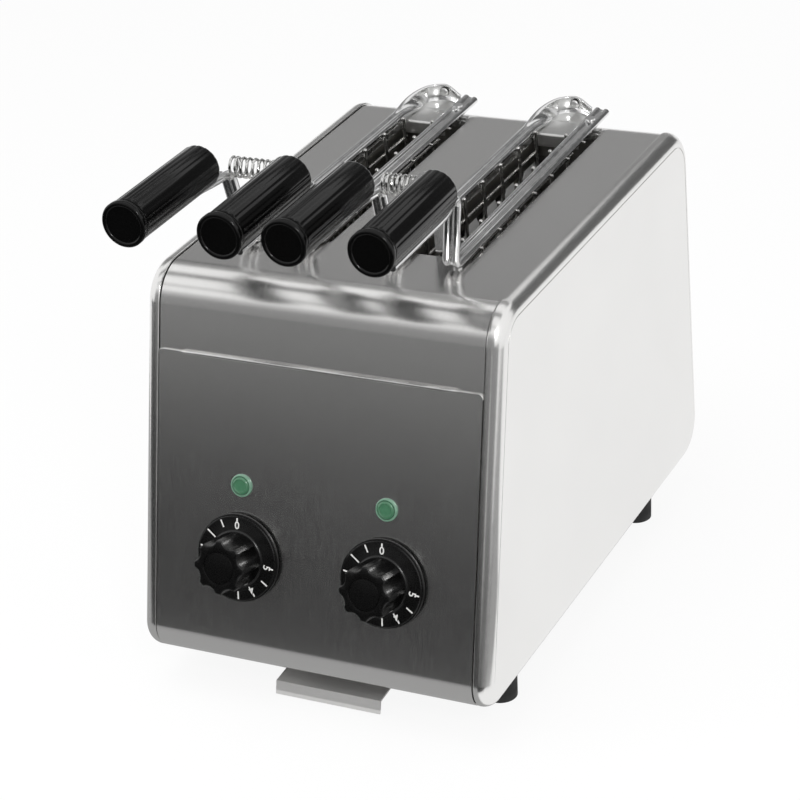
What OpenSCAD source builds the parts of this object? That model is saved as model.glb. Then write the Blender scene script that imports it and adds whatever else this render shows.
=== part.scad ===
// Two-slot counter toaster with sandwich tongs, brushed steel body, minute timers and a crumb tray.
// Millimetres. X to the right, Y to the back, Z up; Z = 0 is the table, the origin is under the part's middle.

/* [Body] */
// Width over both side cheeks
body_w = 210; // [180:1:260]
// Depth from the toe of the front to the back
body_d = 323; // [290:1:380]
// Height from the underside of the body to its top
body_h = 212; // [190:1:260]
// Lean of the front, top towards the back, in degrees
front_lean = 14.8; // [0:0.1:20]
// Corner radius of the side outline
corner_r = 24; // [14:1:30]
// Rounding between a cheek's border and its side face
edge_r = 8; // [4:0.5:8.5]
// Width of the cheek border seen from the front
cheek_w = 9; // [9:0.5:14]
// Thickness of the sheet metal
sheet_t = 1; // [0.8:0.1:1.5]
// Dark seam between a cheek and the sheet beside it
seam_gap = 0.6; // [0.3:0.1:1]
// Height of the panel edge above the underside, along the front
panel_h = 176.5; // [150:0.5:190]
// Overlap of the top cover behind the control panel
panel_lap = 12; // [6:1:20]
// Radius of the panel's rolled top edge
panel_bead_r = 0.9; // [0.6:0.1:1.5]
// Depth of the cheek's inner flange that carries the sheets
flange_d = 13; // [10:1:20]

/* [Feet] */
// Height of the body above the table
foot_h = 22.5; // [15:0.5:30]
// Radius of a foot at its top
foot_r = 10; // [8:0.5:14]
// Radius of a foot at the table
foot_toe_r = 9; // [7:0.5:13]
// Distance of the feet inside the seams
foot_side = 10.5; // [10.5:0.5:20]
// Distance of the feet from the front toe and from the back
foot_inset_y = 60; // [40:1:80]
// Radius of a foot screw's shank
foot_screw_r = 2; // [1.5:0.1:3]

/* [Slots] */
// Distance of each slot from the middle plane
slot_x = 42.4; // [38:0.1:50]
// Width of a slot
slot_w = 38; // [38:0.5:44]
// Gap from a slot's front end to the tongs' posts
slot_clear = 18; // [16:0.5:20]
// Gap from a slot's rear end to the tongs' hinge
slot_near = 6; // [5:0.5:7]
// Corner radius of a slot
slot_r = 3; // [1:0.5:6]
// Depth of the sleeve that hangs under a slot
liner_h = 16; // [10:1:25]

/* [Heater] */
// Radius of a quartz tube
tube_r = 5; // [4:0.5:6]
// Height of the lowest tube over the underside of the body
tube_z = 100; // [90:1:110]
// Spacing between tubes, one above the other
tube_pitch = 40; // [30:1:45]
// Tubes one above the other in each bank
tube_count = 3; // [2:1:3]
// Gap from the seams to the chamber's side walls
wall_side = 5; // [4:0.5:8]
// Distance of the outer tube banks from the side walls
tube_side = 12; // [11:0.5:14]
// Radius of a ceramic tube end
cap_r = 7; // [6.5:0.5:8]
// Gap from the slots to the chamber's end walls
wall_gap = 2; // [1.5:0.5:3]

/* [Crumb tray] */
// Gap between the tray's inside and the feet
tray_side = 16.5; // [15:0.5:25]
// Height of the tray's floor above the table
tray_z = 10; // [8:0.5:12]
// Height of the tray's walls
tray_h = 11; // [8:0.5:12]
// Front wall of the tray, from the front toe
tray_front = 48; // [45:1:60]
// Rear wall of the tray, from the front toe
tray_back = 288; // [250:1:296]
// Width of the pull tab
tab_w = 64; // [50:1:80]
// Front edge of the pull tab, from the front toe
tab_front = 20; // [10:1:30]
// Drop of the pull tab's lip
lip_h = 6.5; // [4:0.5:7]
// Fall of the pull tab towards its lip
tab_fall = 1.6; // [0:0.1:2]
// Forward rake of the lip
lip_rake = 2; // [0:0.5:4]

/* [Controls] */
// Distance of the timers and lamps from the middle plane
control_x = 43.3; // [35:0.1:50]
// Height of the timers along the front
dial_h = 68; // [50:0.5:80]
// Height of the lamps along the front
lamp_h = 107.8; // [95:0.1:130]
// Radius of a knob's skirt
skirt_r = 23.8; // [20:0.1:28]
// Thickness of a knob's skirt
skirt_t = 3; // [2.5:0.1:5]
// Gap between the panel and the skirt
skirt_gap = 1.5; // [0.5:0.1:3]
// Outer radius of a knob's lobes
knob_r = 14.5; // [12:0.1:18]
// Height of a knob over its skirt
knob_h = 20; // [14:0.5:26]
// Lobes round a knob
knob_lobes = 8; // [6:1:12]
// Radius of a timer shaft
shaft_r = 3; // [2:0.1:4]
// Width and height of a timer's case
timer_w = 40; // [30:1:44]
// Depth of a timer's case
timer_d = 34; // [20:1:40]
// Radius of a lamp's lens
lens_r = 5; // [4:0.1:7]
// Width of the bright ring round a lens
bezel_w = 1.3; // [0.8:0.1:2]
// Height of the bright ring over the panel
bezel_h = 1.6; // [1:0.1:2.5]
// Length of a lamp's body behind the panel
lamp_len = 22; // [15:1:28]

/* [Back] */
// Radius of a back screw's shank
screw_r = 1.6; // [1.2:0.1:2.5]
// Radius of the cable gland
gland_r = 8; // [6:0.5:10]
// Distance of the gland inside the right seam
gland_side = 36; // [25:1:60]
// Height of the gland over the underside of the body
gland_h = 40; // [30:1:80]
// How far the gland stands out of the back
gland_out = 4; // [2:0.5:10]
// Width of the back panel's lip under the base
back_lip = 6; // [4:0.5:8]

/* [Tongs] */
// Opening angle of the left tongs' arms, each side, in degrees
left_open = 0.3; // [0:0.1:1]
// Opening angle of the right tongs' arms, each side, in degrees
right_open = 0.45; // [0:0.05:1]
// Turn of the left tongs in their slot, in degrees
left_turn = 0; // [-0.6:0.1:0.6]
// Turn of the right tongs in their slot, in degrees
right_turn = 0.6; // [-0.6:0.1:0.6]
// Outward lean of the left tongs' arms, in degrees
left_lean = 11.5; // [0:0.5:12]
// Outward lean of the right tongs' arms, in degrees
right_lean = 6.4; // [0:0.1:12]
// How far both tongs sit to the right of their slots' middle
tong_shift = -4.6; // [-5:0.1:2]
// Distance of the tongs' hinge from the front toe
hinge_back = 300; // [299:1:303]
// Half the distance between the arms at the hinge
arm_x = 15.5; // [15:0.1:16]
// Height of the arms over the top cover
tong_lift = 2.4; // [2.4:0.1:4]
// Width of the arms' strip
strip_w = 9.5; // [8:0.5:9.5]
// Thickness of the strip between its beads
strip_t = 1.4; // [1:0.1:2]
// Radius of the strip's rolled beads
bead_r = 1.5; // [1:0.1:2]
// Distance from the hinge to the posts
post_reach = 203; // [198:1:206]
// Height of the posts, from strip middle to tang middle
post_h = 40.5; // [32:0.5:50]
// Length of the moving arms' strip behind the hinge
tail_len = 19; // [10:1:20]
// Bend radius of the strip's corners, at its middle
bend_r = 5; // [4:0.5:8]
// Gap from the posts to the back end of the grips
grip_gap = 21; // [14:0.5:28]
// Length of a grip
grip_len = 80; // [60:1:100]
// Radius of a grip
grip_r = 12.1; // [10:0.1:13]
// Depth of the seat for the tang in a grip's underside
seat_d = 1.5; // [1:0.1:3]
// Flutes round a grip
grip_flutes = 18; // [10:1:24]
// Radius of a flute
flute_r = 1.2; // [0.6:0.1:1.4]
// Length of a grip's end cap
cap_len = 5; // [3:0.5:8]
// Radius of a hinge pin
pin_r = 1.5; // [1:0.1:2]
// Distance of the bow's middle outside the arms' middle
bow_out = 3.1; // [2.8:0.1:3.3]
// Height of the bow's band
bow_h = 11.5; // [8:0.5:15]
// Height of the guard over the strip
guard_up = 21; // [10:1:28]
// Depth of the guard under the strip
guard_down = 20; // [10:1:30]
// Width of the guard
guard_w = 15; // [5:0.5:15]
// Radius of the pegs under the strips
peg_r = 2.5; // [2:0.1:3]
// Radius of the cage wires
wire_r = 1.25; // [1:0.05:1.5]
// Upright wires in a cage
wire_count = 7; // [5:1:7]
// Gap from the last upright wire to the slot's front end
wire_end = 12; // [9:0.5:16]
// Distance from the hinge to the first upright wire
wire_first = 23; // [22:0.5:24]
// Depth of a cage under the strip
cage_depth = 140; // [100:1:145]
// Long wires in a cage
rail_count = 4; // [3:1:5]
// Length of the feet that carry the bread
hook_len = 4; // [2:0.5:4]

/* [Springs] */
// Radius of a spring's wire
spring_wire_r = 0.75; // [0.4:0.05:0.8]
// Radius of a spring's turns, at the wire's middle
spring_r = 4.6; // [3:0.1:5]
// Turns of a spring
spring_turns = 9; // [5:1:10]

/* [Clearances] */
// Gap between pieces that are fixed to each other
joint_gap = 0.1; // [0.05:0.01:0.2]
// Gap between pieces that move past each other
move_gap = 0.3; // [0.2:0.05:0.5]
// Gap between a pin and its hole, all round
pin_gap = 0.05; // [0.02:0.01:0.1]

/* [Hidden] */
$fn = 64;

steel = [0.62, 0.62, 0.61];
bright = [0.80, 0.80, 0.80];
black = [0.06, 0.06, 0.06];
ceramic = [0.88, 0.86, 0.80];

// The slots end a little way inside the tongs' posts and hinge.
slot_far = post_reach - slot_clear;
slot_front = hinge_back - slot_far;
slot_len = slot_far - slot_near;
wire_pitch = (slot_far - wire_end - wire_first) / (wire_count - 1);

// The grips or the knobs reach furthest forward, the gland furthest back.
grip_back = post_reach + grip_gap;
grip_front = hinge_back - grip_back - grip_len;
knob_out = skirt_gap + skirt_t + knob_h;
knob_front = (dial_h - knob_r) * sin(front_lean) - knob_out * cos(front_lean);
toe_y = -(min(grip_front, knob_front, 0) + body_d + gland_out) / 2;
body_z = foot_h;
top_z = foot_h + body_h;
back_y = toe_y + body_d;
lean_t = tan(front_lean);

// Sheets lie inside each other: the control panel outermost, then the cover, then the cheeks' flange.
cover_in = sheet_t + joint_gap;
flange_in = cover_in + sheet_t + joint_gap;
inner_in = flange_in + sheet_t + joint_gap;
half_w = body_w / 2;
seam_x = half_w - cheek_w;
sheet_x = seam_x - seam_gap;
cover_top = top_z - cover_in;
base_z = body_z + inner_in;
base_top = base_z + sheet_t;

// Centres of the four rounded corners of the side outline, as [y, z]: toe, top front, top back, bottom back.
corner_toe = [toe_y + corner_r * lean_t + corner_r / cos(front_lean), body_z + corner_r];
corner_top = [toe_y + (body_h - corner_r) * lean_t + corner_r / cos(front_lean), top_z - corner_r];
corner_rear = [back_y - corner_r, top_z - corner_r];
corner_low = [back_y - corner_r, body_z + corner_r];
front_n = [-cos(front_lean), sin(front_lean)];
arc_steps = 12;

// Chamber walls stand just outside the slots' ends.
wall_front = toe_y + slot_front - wall_gap - sheet_t;
wall_back = toe_y + slot_front + slot_len + wall_gap;
wall_x = seam_x - wall_side;
tube_x = wall_x - tube_side;
wall_top = top_z - inner_in;
slot_mid = toe_y + slot_front + slot_len / 2;

// The base plate ends where the corners begin to rise.
base_front = corner_toe[0];
base_back = corner_low[0];

// The tongs' own zero is the hinge pin, at the underside of the strips.
hinge_y = toe_y + hinge_back;
tong_z = cover_top + tong_lift;
rest_z = -tong_lift + move_gap;
rest_top = rest_z + sheet_t;
strip_mid = bead_r;
strip_top = 2 * bead_r;
eye_r = strip_w / 2 + 0.5;
tang_z = strip_mid + post_h;
bead_x = strip_w / 2 - bead_r;
wire_x = -(strip_w / 2 + wire_r + joint_gap / 2);
grip_z = tang_z + bead_r + joint_gap + grip_r - seat_d;
spring_z = tang_z + spring_r;
spring_reach = post_reach + bend_r;
guard_in = 3;
guard_y = -slot_far + guard_in;
peg_y = -(slot_far + post_reach) / 2;
bow_r = arm_x + bow_out;
rivet_angle = 100;
bow_end_x = arm_x - strip_w / 2 - 2 * move_gap;
bow_start = acos(bow_end_x / (bow_r + sheet_t / 2));

// Feet stand under the cheeks; the crumb tray's runners hang between them, beside the tray's lips.
foot_x = seam_x - foot_side;
tray_w = 2 * (foot_x - foot_r - tray_side);
runner_w = 7;
tray_x = tray_w / 2 + sheet_t;
ledge_z = tray_z + 2 * sheet_t;
runner_x = tray_x + runner_w;
timer_bush_r = shaft_r + 1.5;
recess_r = timer_bush_r * 2.2;
gland_x = seam_x - gland_side;
gland_z = body_z + gland_h;
back_screw_x = seam_x - flange_d / 2;

// The side outline, drawn in from the outside by the given distance, in the Y-Z plane.
module outline(inset) {
    arcs = [
        [corner_low, -90, 0], [corner_rear, 0, 90],
        [corner_top, 90, 180 - front_lean], [corner_toe, 180 - front_lean, 270]
    ];
    polygon([
        for (c = arcs, i = [0 : arc_steps])
            let (a = c[1] + (c[2] - c[1]) * i / arc_steps)
            c[0] + (corner_r - inset) * [cos(a), sin(a)]
    ]);
}

// Pulls a Y-Z drawing along X.
module along_x(x0, x1) {
    translate([x0, 0, 0]) rotate([90, 0, 90]) linear_extrude(x1 - x0) children();
}

// A box from one corner to the other.
module block(a, b) {
    translate(a) cube(b - a);
}

// A sheet that follows the outline.
module skin(inset) {
    difference() {
        outline(inset);
        outline(inset + sheet_t);
    }
}

// Places what is drawn on the leaning front: X right, -Y outwards, Z up the front.
module on_front(x, h) {
    translate([0, toe_y, body_z]) rotate([-front_lean, 0, 0]) translate([x, 0, h]) children();
}

// A round bar along the front's normal, from y0 to y1.
module front_bar(r, y0, y1) {
    translate([0, y0, 0]) rotate([-90, 0, 0]) cylinder(r = r, h = y1 - y0);
}

module both_sides() {
    children();
    mirror([1, 0, 0]) children();
}

module cheek_solid(inset) {
    steps = 5;
    hull() {
        along_x(seam_x, half_w - edge_r) outline(inset);
        for (i = [1 : steps]) {
            a = 90 * i / steps;
            x = half_w - edge_r + (edge_r - inset) * sin(a);
            along_x(x - joint_gap, x) outline(edge_r - (edge_r - inset) * cos(a));
        }
    }
}

module cheek() {
    difference() {
        union() {
            difference() {
                cheek_solid(0);
                difference() {
                    cheek_solid(sheet_t);
                    along_x(seam_x - 1, seam_x + 2 * sheet_t) outline(0);
                }
                along_x(seam_x - 1, seam_x + 3 * sheet_t) outline(flange_in + sheet_t);
            }
            along_x(seam_x - flange_d, seam_x + sheet_t) difference() {
                outline(flange_in);
                outline(flange_in + sheet_t);
            }
            block([foot_x - foot_r - 3, toe_y + foot_inset_y - 2 * foot_r, body_z + flange_in],
                [seam_x, back_y - foot_inset_y + 2 * foot_r, body_z + flange_in + sheet_t]);
        }
        foot_places() cylinder(r = foot_screw_r + joint_gap, h = top_z / 2);
        back_screw_places() front_bar(screw_r + joint_gap, -corner_r, corner_r / 4);
    }
}

module left_cheek() { color(steel) mirror([1, 0, 0]) cheek(); }
module right_cheek() { color(steel) cheek(); }

module slot_shape(grow) {
    w = slot_w / 2 + grow;
    l = slot_len / 2 + grow;
    r = slot_r + grow;
    square([2 * (w - r), 2 * l], center = true);
    square([2 * w, 2 * (l - r)], center = true);
    for (sx = [-1, 1], sy = [-1, 1])
        translate([sx * (w - r), sy * (l - r)]) circle(r);
}

module slot_places(z) {
    for (s = [-1, 1])
        translate([s * slot_x, slot_mid, z]) children();
}

// The cover is the top sheet with the upper front band, from behind the panel to the back's upper corner.
module top_cover() {
    band_z = body_z + (panel_h - panel_lap) * cos(front_lean);
    color(steel) difference() {
        along_x(-sheet_x, sheet_x) intersection() {
            skin(cover_in);
            translate([toe_y - body_d, band_z]) square([2 * body_d, body_h]);
            union() {
                translate([toe_y - body_d, body_z]) square([1.5 * body_d, 2 * body_h]);
                translate([toe_y, corner_rear[1]]) square([2 * body_d, body_h]);
            }
        }
        slot_places(cover_top - corner_r / 2) linear_extrude(corner_r) slot_shape(0);
    }
}

module control_panel() {
    edge = panel_h * [lean_t, 1] * cos(front_lean);
    color(steel) difference() {
        along_x(-sheet_x, sheet_x) union() {
            intersection() {
                skin(0);
                union() {
                    translate([toe_y - corner_r, body_z - 1])
                        square([corner_toe[0] - toe_y + corner_r, corner_r]);
                    translate([toe_y - corner_r, body_z + corner_r / 2])
                        square([body_d / 2, panel_h * cos(front_lean) - corner_r / 2]);
                }
            }
            translate([toe_y, body_z] + edge - front_n * (sheet_t - panel_bead_r)) circle(panel_bead_r);
        }
        for (s = [-1, 1]) {
            on_front(s * control_x, dial_h) front_bar(timer_bush_r + joint_gap, -5, 5);
            on_front(s * control_x, lamp_h) front_bar(lens_r + joint_gap, -5, 5);
        }
    }
}

module back_screw_places() {
    for (s = [-1, 1], z = [body_z + 2 * corner_r, top_z - 2 * corner_r])
        translate([s * back_screw_x, back_y, z]) children();
}

module back_panel() {
    color(steel) difference() {
        along_x(-sheet_x, sheet_x) intersection() {
            skin(cover_in);
            union() {
                translate([corner_low[0], body_z]) square([corner_r, body_h - corner_r - seam_gap]);
                translate([base_back - back_lip, body_z]) square([back_lip + corner_r, corner_r / 2]);
            }
        }
        back_screw_places() front_bar(screw_r + joint_gap, -corner_r, corner_r / 4);
        translate([gland_x, back_y, gland_z]) front_bar(gland_r + joint_gap, -corner_r, corner_r / 4);
    }
}

module back_screws() {
    color(bright) back_screw_places() {
        front_bar(screw_r, -(inner_in + 4), -cover_in / 2);
        front_bar(screw_r * 2, -cover_in, 1.2);
    }
}

module foot_places() {
    for (s = [-1, 1], y = [toe_y + foot_inset_y, back_y - foot_inset_y])
        translate([s * foot_x, y, 0]) children();
}

// The base plate lies on the cheeks' flanges, open in the middle so crumbs drop into the tray.
module base_plate() {
    rim = 4;
    open_x = tray_w / 2 - rim;
    color(steel) difference() {
        block([-sheet_x, base_front, base_z], [sheet_x, base_back, base_top]);
        block([-open_x, wall_front + rim, base_z - 1], [open_x, wall_back - rim, base_top + 1]);
        foot_places() cylinder(r = foot_screw_r + joint_gap, h = top_z / 2);
    }
}

module feet() {
    top = body_z + flange_in;
    color(black) foot_places() difference() {
        cylinder(r1 = foot_toe_r, r2 = foot_r, h = top);
        translate([0, 0, -1]) cylinder(r = foot_screw_r + joint_gap, h = top + 2);
        translate([0, 0, -1]) cylinder(r = 2 * foot_screw_r + move_gap, h = foot_h / 2 + 1);
    }
}

module foot_screws() {
    color(bright) foot_places() {
        translate([0, 0, foot_h / 2 - foot_screw_r]) cylinder(r = 2 * foot_screw_r, h = foot_screw_r);
        translate([0, 0, foot_h / 2 - foot_screw_r]) cylinder(r = foot_screw_r, h = base_top + 6 - foot_h / 2);
        translate([0, 0, base_top]) cylinder(r = 2 * foot_screw_r, h = foot_screw_r * 1.5, $fn = 6);
    }
}

module tray_runners() {
    color(steel) both_sides() {
        y0 = toe_y + tray_front;
        y1 = toe_y + tray_back;
        block([runner_x, y0, ledge_z], [runner_x + sheet_t, y1, base_z]);
        block([tray_x + move_gap, y0, ledge_z], [runner_x + sheet_t, y1, ledge_z + sheet_t]);
        block([tray_x - 2 * sheet_t, y0, base_z - sheet_t], [runner_x + sheet_t, y1, base_z]);
    }
}

module crumb_tray() {
    y0 = toe_y + tray_front;
    y1 = toe_y + tray_back;
    lip_z = ledge_z + sheet_t + move_gap;
    tab_y = toe_y + tab_front;
    lip_z0 = tray_z - tab_fall - lip_h;
    color(bright) union() {
        difference() {
            block([-tray_x, y0, tray_z], [tray_x, y1, tray_z + tray_h]);
            block([-tray_w / 2, y0 + sheet_t, tray_z + sheet_t], [tray_w / 2, y1 - sheet_t, top_z]);
        }
        both_sides()
            block([tray_x - sheet_t / 2, y0, lip_z], [runner_x - move_gap, y1, lip_z + sheet_t]);
        along_x(-tab_w / 2, tab_w / 2) polygon([
            [y0 + sheet_t / 2, tray_z], [y0 + sheet_t / 2, tray_z + sheet_t],
            [tab_y, tray_z + sheet_t - tab_fall], [tab_y - lip_rake, lip_z0],
            [tab_y - lip_rake + sheet_t, lip_z0], [tab_y + sheet_t, tray_z - tab_fall]
        ]);
    }
}

// Thin sleeves under the slots keep crumbs off the wiring and stiffen the cover.
module slot_liners() {
    z1 = cover_top - sheet_t - joint_gap;
    color(bright) slot_places(0) difference() {
        union() {
            translate([0, 0, z1 - liner_h]) linear_extrude(liner_h) slot_shape(sheet_t);
            translate([0, 0, z1 - sheet_t]) linear_extrude(sheet_t)
                square([slot_w + 12 * sheet_t, slot_len], center = true);
        }
        translate([0, 0, z1 - liner_h - 1]) linear_extrude(liner_h + 2) slot_shape(joint_gap);
    }
}

module tube_places() {
    for (x = [-tube_x, 0, tube_x], i = [0 : tube_count - 1])
        translate([x, 0, body_z + tube_z + i * tube_pitch]) children();
}

module end_wall(y) {
    difference() {
        block([-wall_x, y, base_top], [wall_x, y + sheet_t, wall_top]);
        tube_places() translate([0, y, 0]) front_bar(cap_r + joint_gap, -5, 5);
    }
}

module front_wall() { color(bright) end_wall(wall_front); }
module rear_wall() { color(bright) end_wall(wall_back); }

module reflectors() {
    color(bright) both_sides()
        block([wall_x - sheet_t, wall_front + sheet_t + joint_gap, body_z + tube_z / 2],
            [wall_x, wall_back - joint_gap, wall_top - corner_r / 2]);
}

module quartz_tubes() {
    inset = sheet_t + 1;
    color([0.9, 0.88, 0.84]) tube_places() difference() {
        translate([0, wall_front + inset, 0])
            front_bar(tube_r, 0, wall_back - wall_front - 2 * inset + sheet_t);
        translate([0, wall_front - 1, 0]) front_bar(tube_r - 1.2, 0, wall_back - wall_front + 3);
    }
}

module tube_ends() {
    color(ceramic) tube_places() {
        translate([0, wall_front, 0]) tube_end();
        translate([0, wall_back + sheet_t, 0]) mirror([0, 1, 0]) tube_end();
    }
}

// A ceramic end sits in its wall with a shoulder inside the chamber, and holds the tube in a socket.
module tube_end() {
    difference() {
        union() {
            front_bar(cap_r, -6, sheet_t + 6);
            front_bar(cap_r + 2, sheet_t + joint_gap, sheet_t + 4);
        }
        front_bar(tube_r + joint_gap, sheet_t + 1 - joint_gap, sheet_t + 8);
        front_bar(tube_r / 3, -8, sheet_t + 8);
    }
}

module timers() {
    color(ceramic) for (s = [-1, 1])
        on_front(s * control_x, dial_h) difference() {
            union() {
                block([-timer_w / 2, cover_in, -timer_w / 2], [timer_w / 2, cover_in + timer_d, timer_w / 2]);
                front_bar(timer_bush_r, -skirt_gap, cover_in + 1);
            }
            front_bar(shaft_r + pin_gap, -skirt_gap - 1, timer_d * 0.7);
        }
}

module timer_nuts() {
    color(bright) for (s = [-1, 1])
        on_front(s * control_x, dial_h) difference() {
            translate([0, -joint_gap, 0]) rotate([90, 0, 0])
                cylinder(r = timer_bush_r * 1.8, h = skirt_gap + 0.5, $fn = 6);
            front_bar(timer_bush_r + joint_gap, -skirt_gap - 2, 1);
        }
}

module shaft(s) {
    color(bright) on_front(s * control_x, dial_h)
        front_bar(shaft_r, -(skirt_gap + skirt_t + knob_h * 0.6), timer_d * 0.65);
}

module left_shaft() { shaft(-1); }
module right_shaft() { shaft(1); }

// A timer knob: a skirt that carries the printed minutes, and a scalloped grip with finger pockets.
module knob(s) {
    out = skirt_gap + skirt_t;
    scallop_r = knob_r * 0.42;
    scallop_out = knob_r + scallop_r * 0.62;
    bore = knob_h * 0.6;
    ring_r = knob_r * 0.62;
    ring_w = knob_r * 0.06;
    step = sheet_t;
    color(black) on_front(s * control_x, dial_h) difference() {
        union() {
            front_bar(skirt_r - step, -out, -skirt_gap);
            front_bar(skirt_r, -out + step, -skirt_gap);
            front_bar(knob_r, -out - knob_h, -out + step);
        }
        for (i = [0 : knob_lobes - 1])
            rotate([0, (i + 0.5) * 360 / knob_lobes, 0]) translate([0, 0, scallop_out])
                front_bar(scallop_r, -out - knob_h - step, -out - 2 * step);
        front_bar(shaft_r + joint_gap / 4, -out - bore - joint_gap, 0);
        front_bar(recess_r, -skirt_gap - 1.2 * step, 0);
        difference() {
            front_bar(ring_r, -out - knob_h - step, -out - knob_h + 0.8 * step);
            front_bar(ring_r - ring_w, -out - knob_h - 2 * step, -out - knob_h + 2 * step);
        }
    }
}

module left_knob() { knob(-1); }
module right_knob() { knob(1); }

module lamp_places() {
    for (s = [-1, 1])
        on_front(s * control_x, lamp_h) children();
}

module lamp_bezels() {
    color(bright) lamp_places() difference() {
        front_bar(lens_r + bezel_w, -bezel_h, -joint_gap / 2);
        front_bar(lens_r + joint_gap, -2 * bezel_h, bezel_h);
    }
}

module lamp_lenses() {
    dome_r = lens_r * 2;
    dome_h = 2 * bezel_h;
    color([0.05, 0.35, 0.2]) lamp_places() intersection() {
        front_bar(lens_r, -lens_r, cover_in);
        translate([0, dome_r - dome_h, 0]) sphere(r = dome_r);
    }
}

module lamp_bodies() {
    color(black) lamp_places() {
        front_bar(lens_r + bezel_w, cover_in, cover_in + 2 * bezel_h);
        front_bar(lens_r - sheet_t / 2, cover_in + bezel_h, cover_in + lamp_len);
    }
}

module terminal_block() {
    y0 = base_front + 2;
    pitch = 10;
    deep = 14;
    high = 12;
    color(ceramic) difference() {
        block([-1.5 * pitch, y0, base_top], [1.5 * pitch, y0 + deep, base_top + high]);
        for (x = [-pitch, 0, pitch])
            translate([x, y0 + deep / 2, base_top + high / 3]) cylinder(r = pitch / 4, h = high);
    }
}

module cable_gland() {
    color(black) translate([gland_x, back_y, gland_z]) difference() {
        union() {
            front_bar(gland_r, -14, gland_out);
            front_bar(gland_r + 3, -cover_in + joint_gap, gland_out);
            translate([0, -cover_in - sheet_t - joint_gap, 0]) rotate([90, 0, 0])
                cylinder(r = gland_r + 4, h = 4, $fn = 6);
        }
        front_bar(gland_r / 2, -20, gland_out + 1);
    }
}

// Places a pair of tongs: side -1 left, 1 right.
module tong(side) {
    translate([side * slot_x + tong_shift, hinge_y, tong_z]) rotate(side < 0 ? left_turn : right_turn) children();
}

function tong_open(side) = side < 0 ? left_open : right_open;
function tong_lean(side) = side < 0 ? left_lean : right_lean;

// The moving arm turns on the pin; drawn along -Y with the pin at zero.
module swing(side) {
    tong(side) translate([arm_x, 0, 0]) rotate(tong_open(side)) children();
}

// The bow's own arm is the mirror image, fixed to the bow.
module still(side) {
    tong(side) mirror([1, 0, 0]) translate([arm_x, 0, 0]) rotate(tong_open(side)) children();
}

// Section of the strip: a flat web with a rolled bead along both edges, thickness along X, width along Y.
module strip_section() {
    square([strip_t, strip_w - 2 * bead_r], center = true);
    for (s = [-1, 1])
        translate([0, s * bead_x]) circle(bead_r);
}

// A straight length of strip along -Y from y0 to y1 (y0 nearer the hinge).
module strip_run(y0, y1, z) {
    translate([0, y0, z]) rotate([90, 0, 0]) linear_extrude(y0 - y1) rotate(90) strip_section();
}

// A bend of the strip in the Y-Z plane about the point [y, z].
module strip_bend(y, z, from) {
    translate([0, y, z]) rotate([0, 90, 0]) rotate(from)
        rotate_extrude(angle = 90) translate([bend_r, 0]) strip_section();
}

// The arms and grips lean outwards about the middle of the strip.
module lean_out(side) {
    translate([0, 0, strip_mid]) rotate([0, tong_lean(side), 0]) translate([0, 0, -strip_mid]) children();
}

// The strip, its post and its tang, with a peg that stands on the cover.
module arm_bar(side, start) {
    post_y = -post_reach;
    rail_end = post_y + bend_r;
    tang_end = -(grip_back + grip_len - 2 * cap_len);
    lean_out(side) {
        strip_run(start, rail_end, strip_mid);
        strip_bend(rail_end, strip_mid + bend_r, -90);
        translate([0, post_y, strip_mid + bend_r])
            linear_extrude(post_h - 2 * bend_r) rotate(90) strip_section();
        strip_bend(post_y - bend_r, tang_z - bend_r, 90);
        strip_run(post_y - bend_r, tang_end, tang_z);
    }
    translate([0, peg_y, rest_z]) cylinder(r = peg_r, h = strip_mid - rest_z);
}

// The moving arm ends in an eye at the hinge and carries a guard plate at the slot's front end.
module tong_arm(side) {
    color(bright) swing(side) difference() {
        union() {
            arm_bar(side, tail_len);
            cylinder(r = eye_r, h = strip_top);
            block([-bead_x - guard_w, guard_y, -guard_down], [-bead_x, guard_y + sheet_t, guard_up]);
        }
        translate([0, 0, -strip_top]) cylinder(r = pin_r + pin_gap, h = 3 * strip_top);
    }
}

// A piece of ring about the bow's middle, from one angle to another, standing on the given height.
module ring_piece(r0, r1, a0, a1, z0, z1) {
    rotate(a0) rotate_extrude(angle = a1 - a0) translate([r0, z0]) square([r1 - r0, z1 - z0]);
}

// Places a round bar along the bow's radius at the rivet.
module at_rivet() {
    rotate(rivet_angle) translate([0, 0, (rest_z + bow_h) / 2]) rotate([0, 0, -90]) children();
}

// The bow: the fixed arm and the upright band that joins it to the hinge side.
module tong_bow(side) {
    color(bright) {
        still(side) arm_bar(side, strip_t);
        tong(side) difference() {
            ring_piece(bow_r - sheet_t / 2, bow_r + sheet_t / 2, bow_start, 180, rest_z, rest_z + bow_h);
            at_rivet() front_bar(screw_r + pin_gap, 0, 2 * bow_r);
        }
    }
}

// A headed pin, fixed in the stop plate, that the moving arm turns on.
module hinge_pin(side) {
    head_z = strip_top + bead_x * sin(tong_lean(side)) + move_gap;
    color(bright) tong(side) translate([arm_x, 0, 0]) {
        translate([0, 0, rest_z]) cylinder(r = pin_r, h = head_z - rest_z);
        translate([0, 0, head_z]) cylinder(r = 2 * pin_r, h = sheet_t);
    }
}

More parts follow.
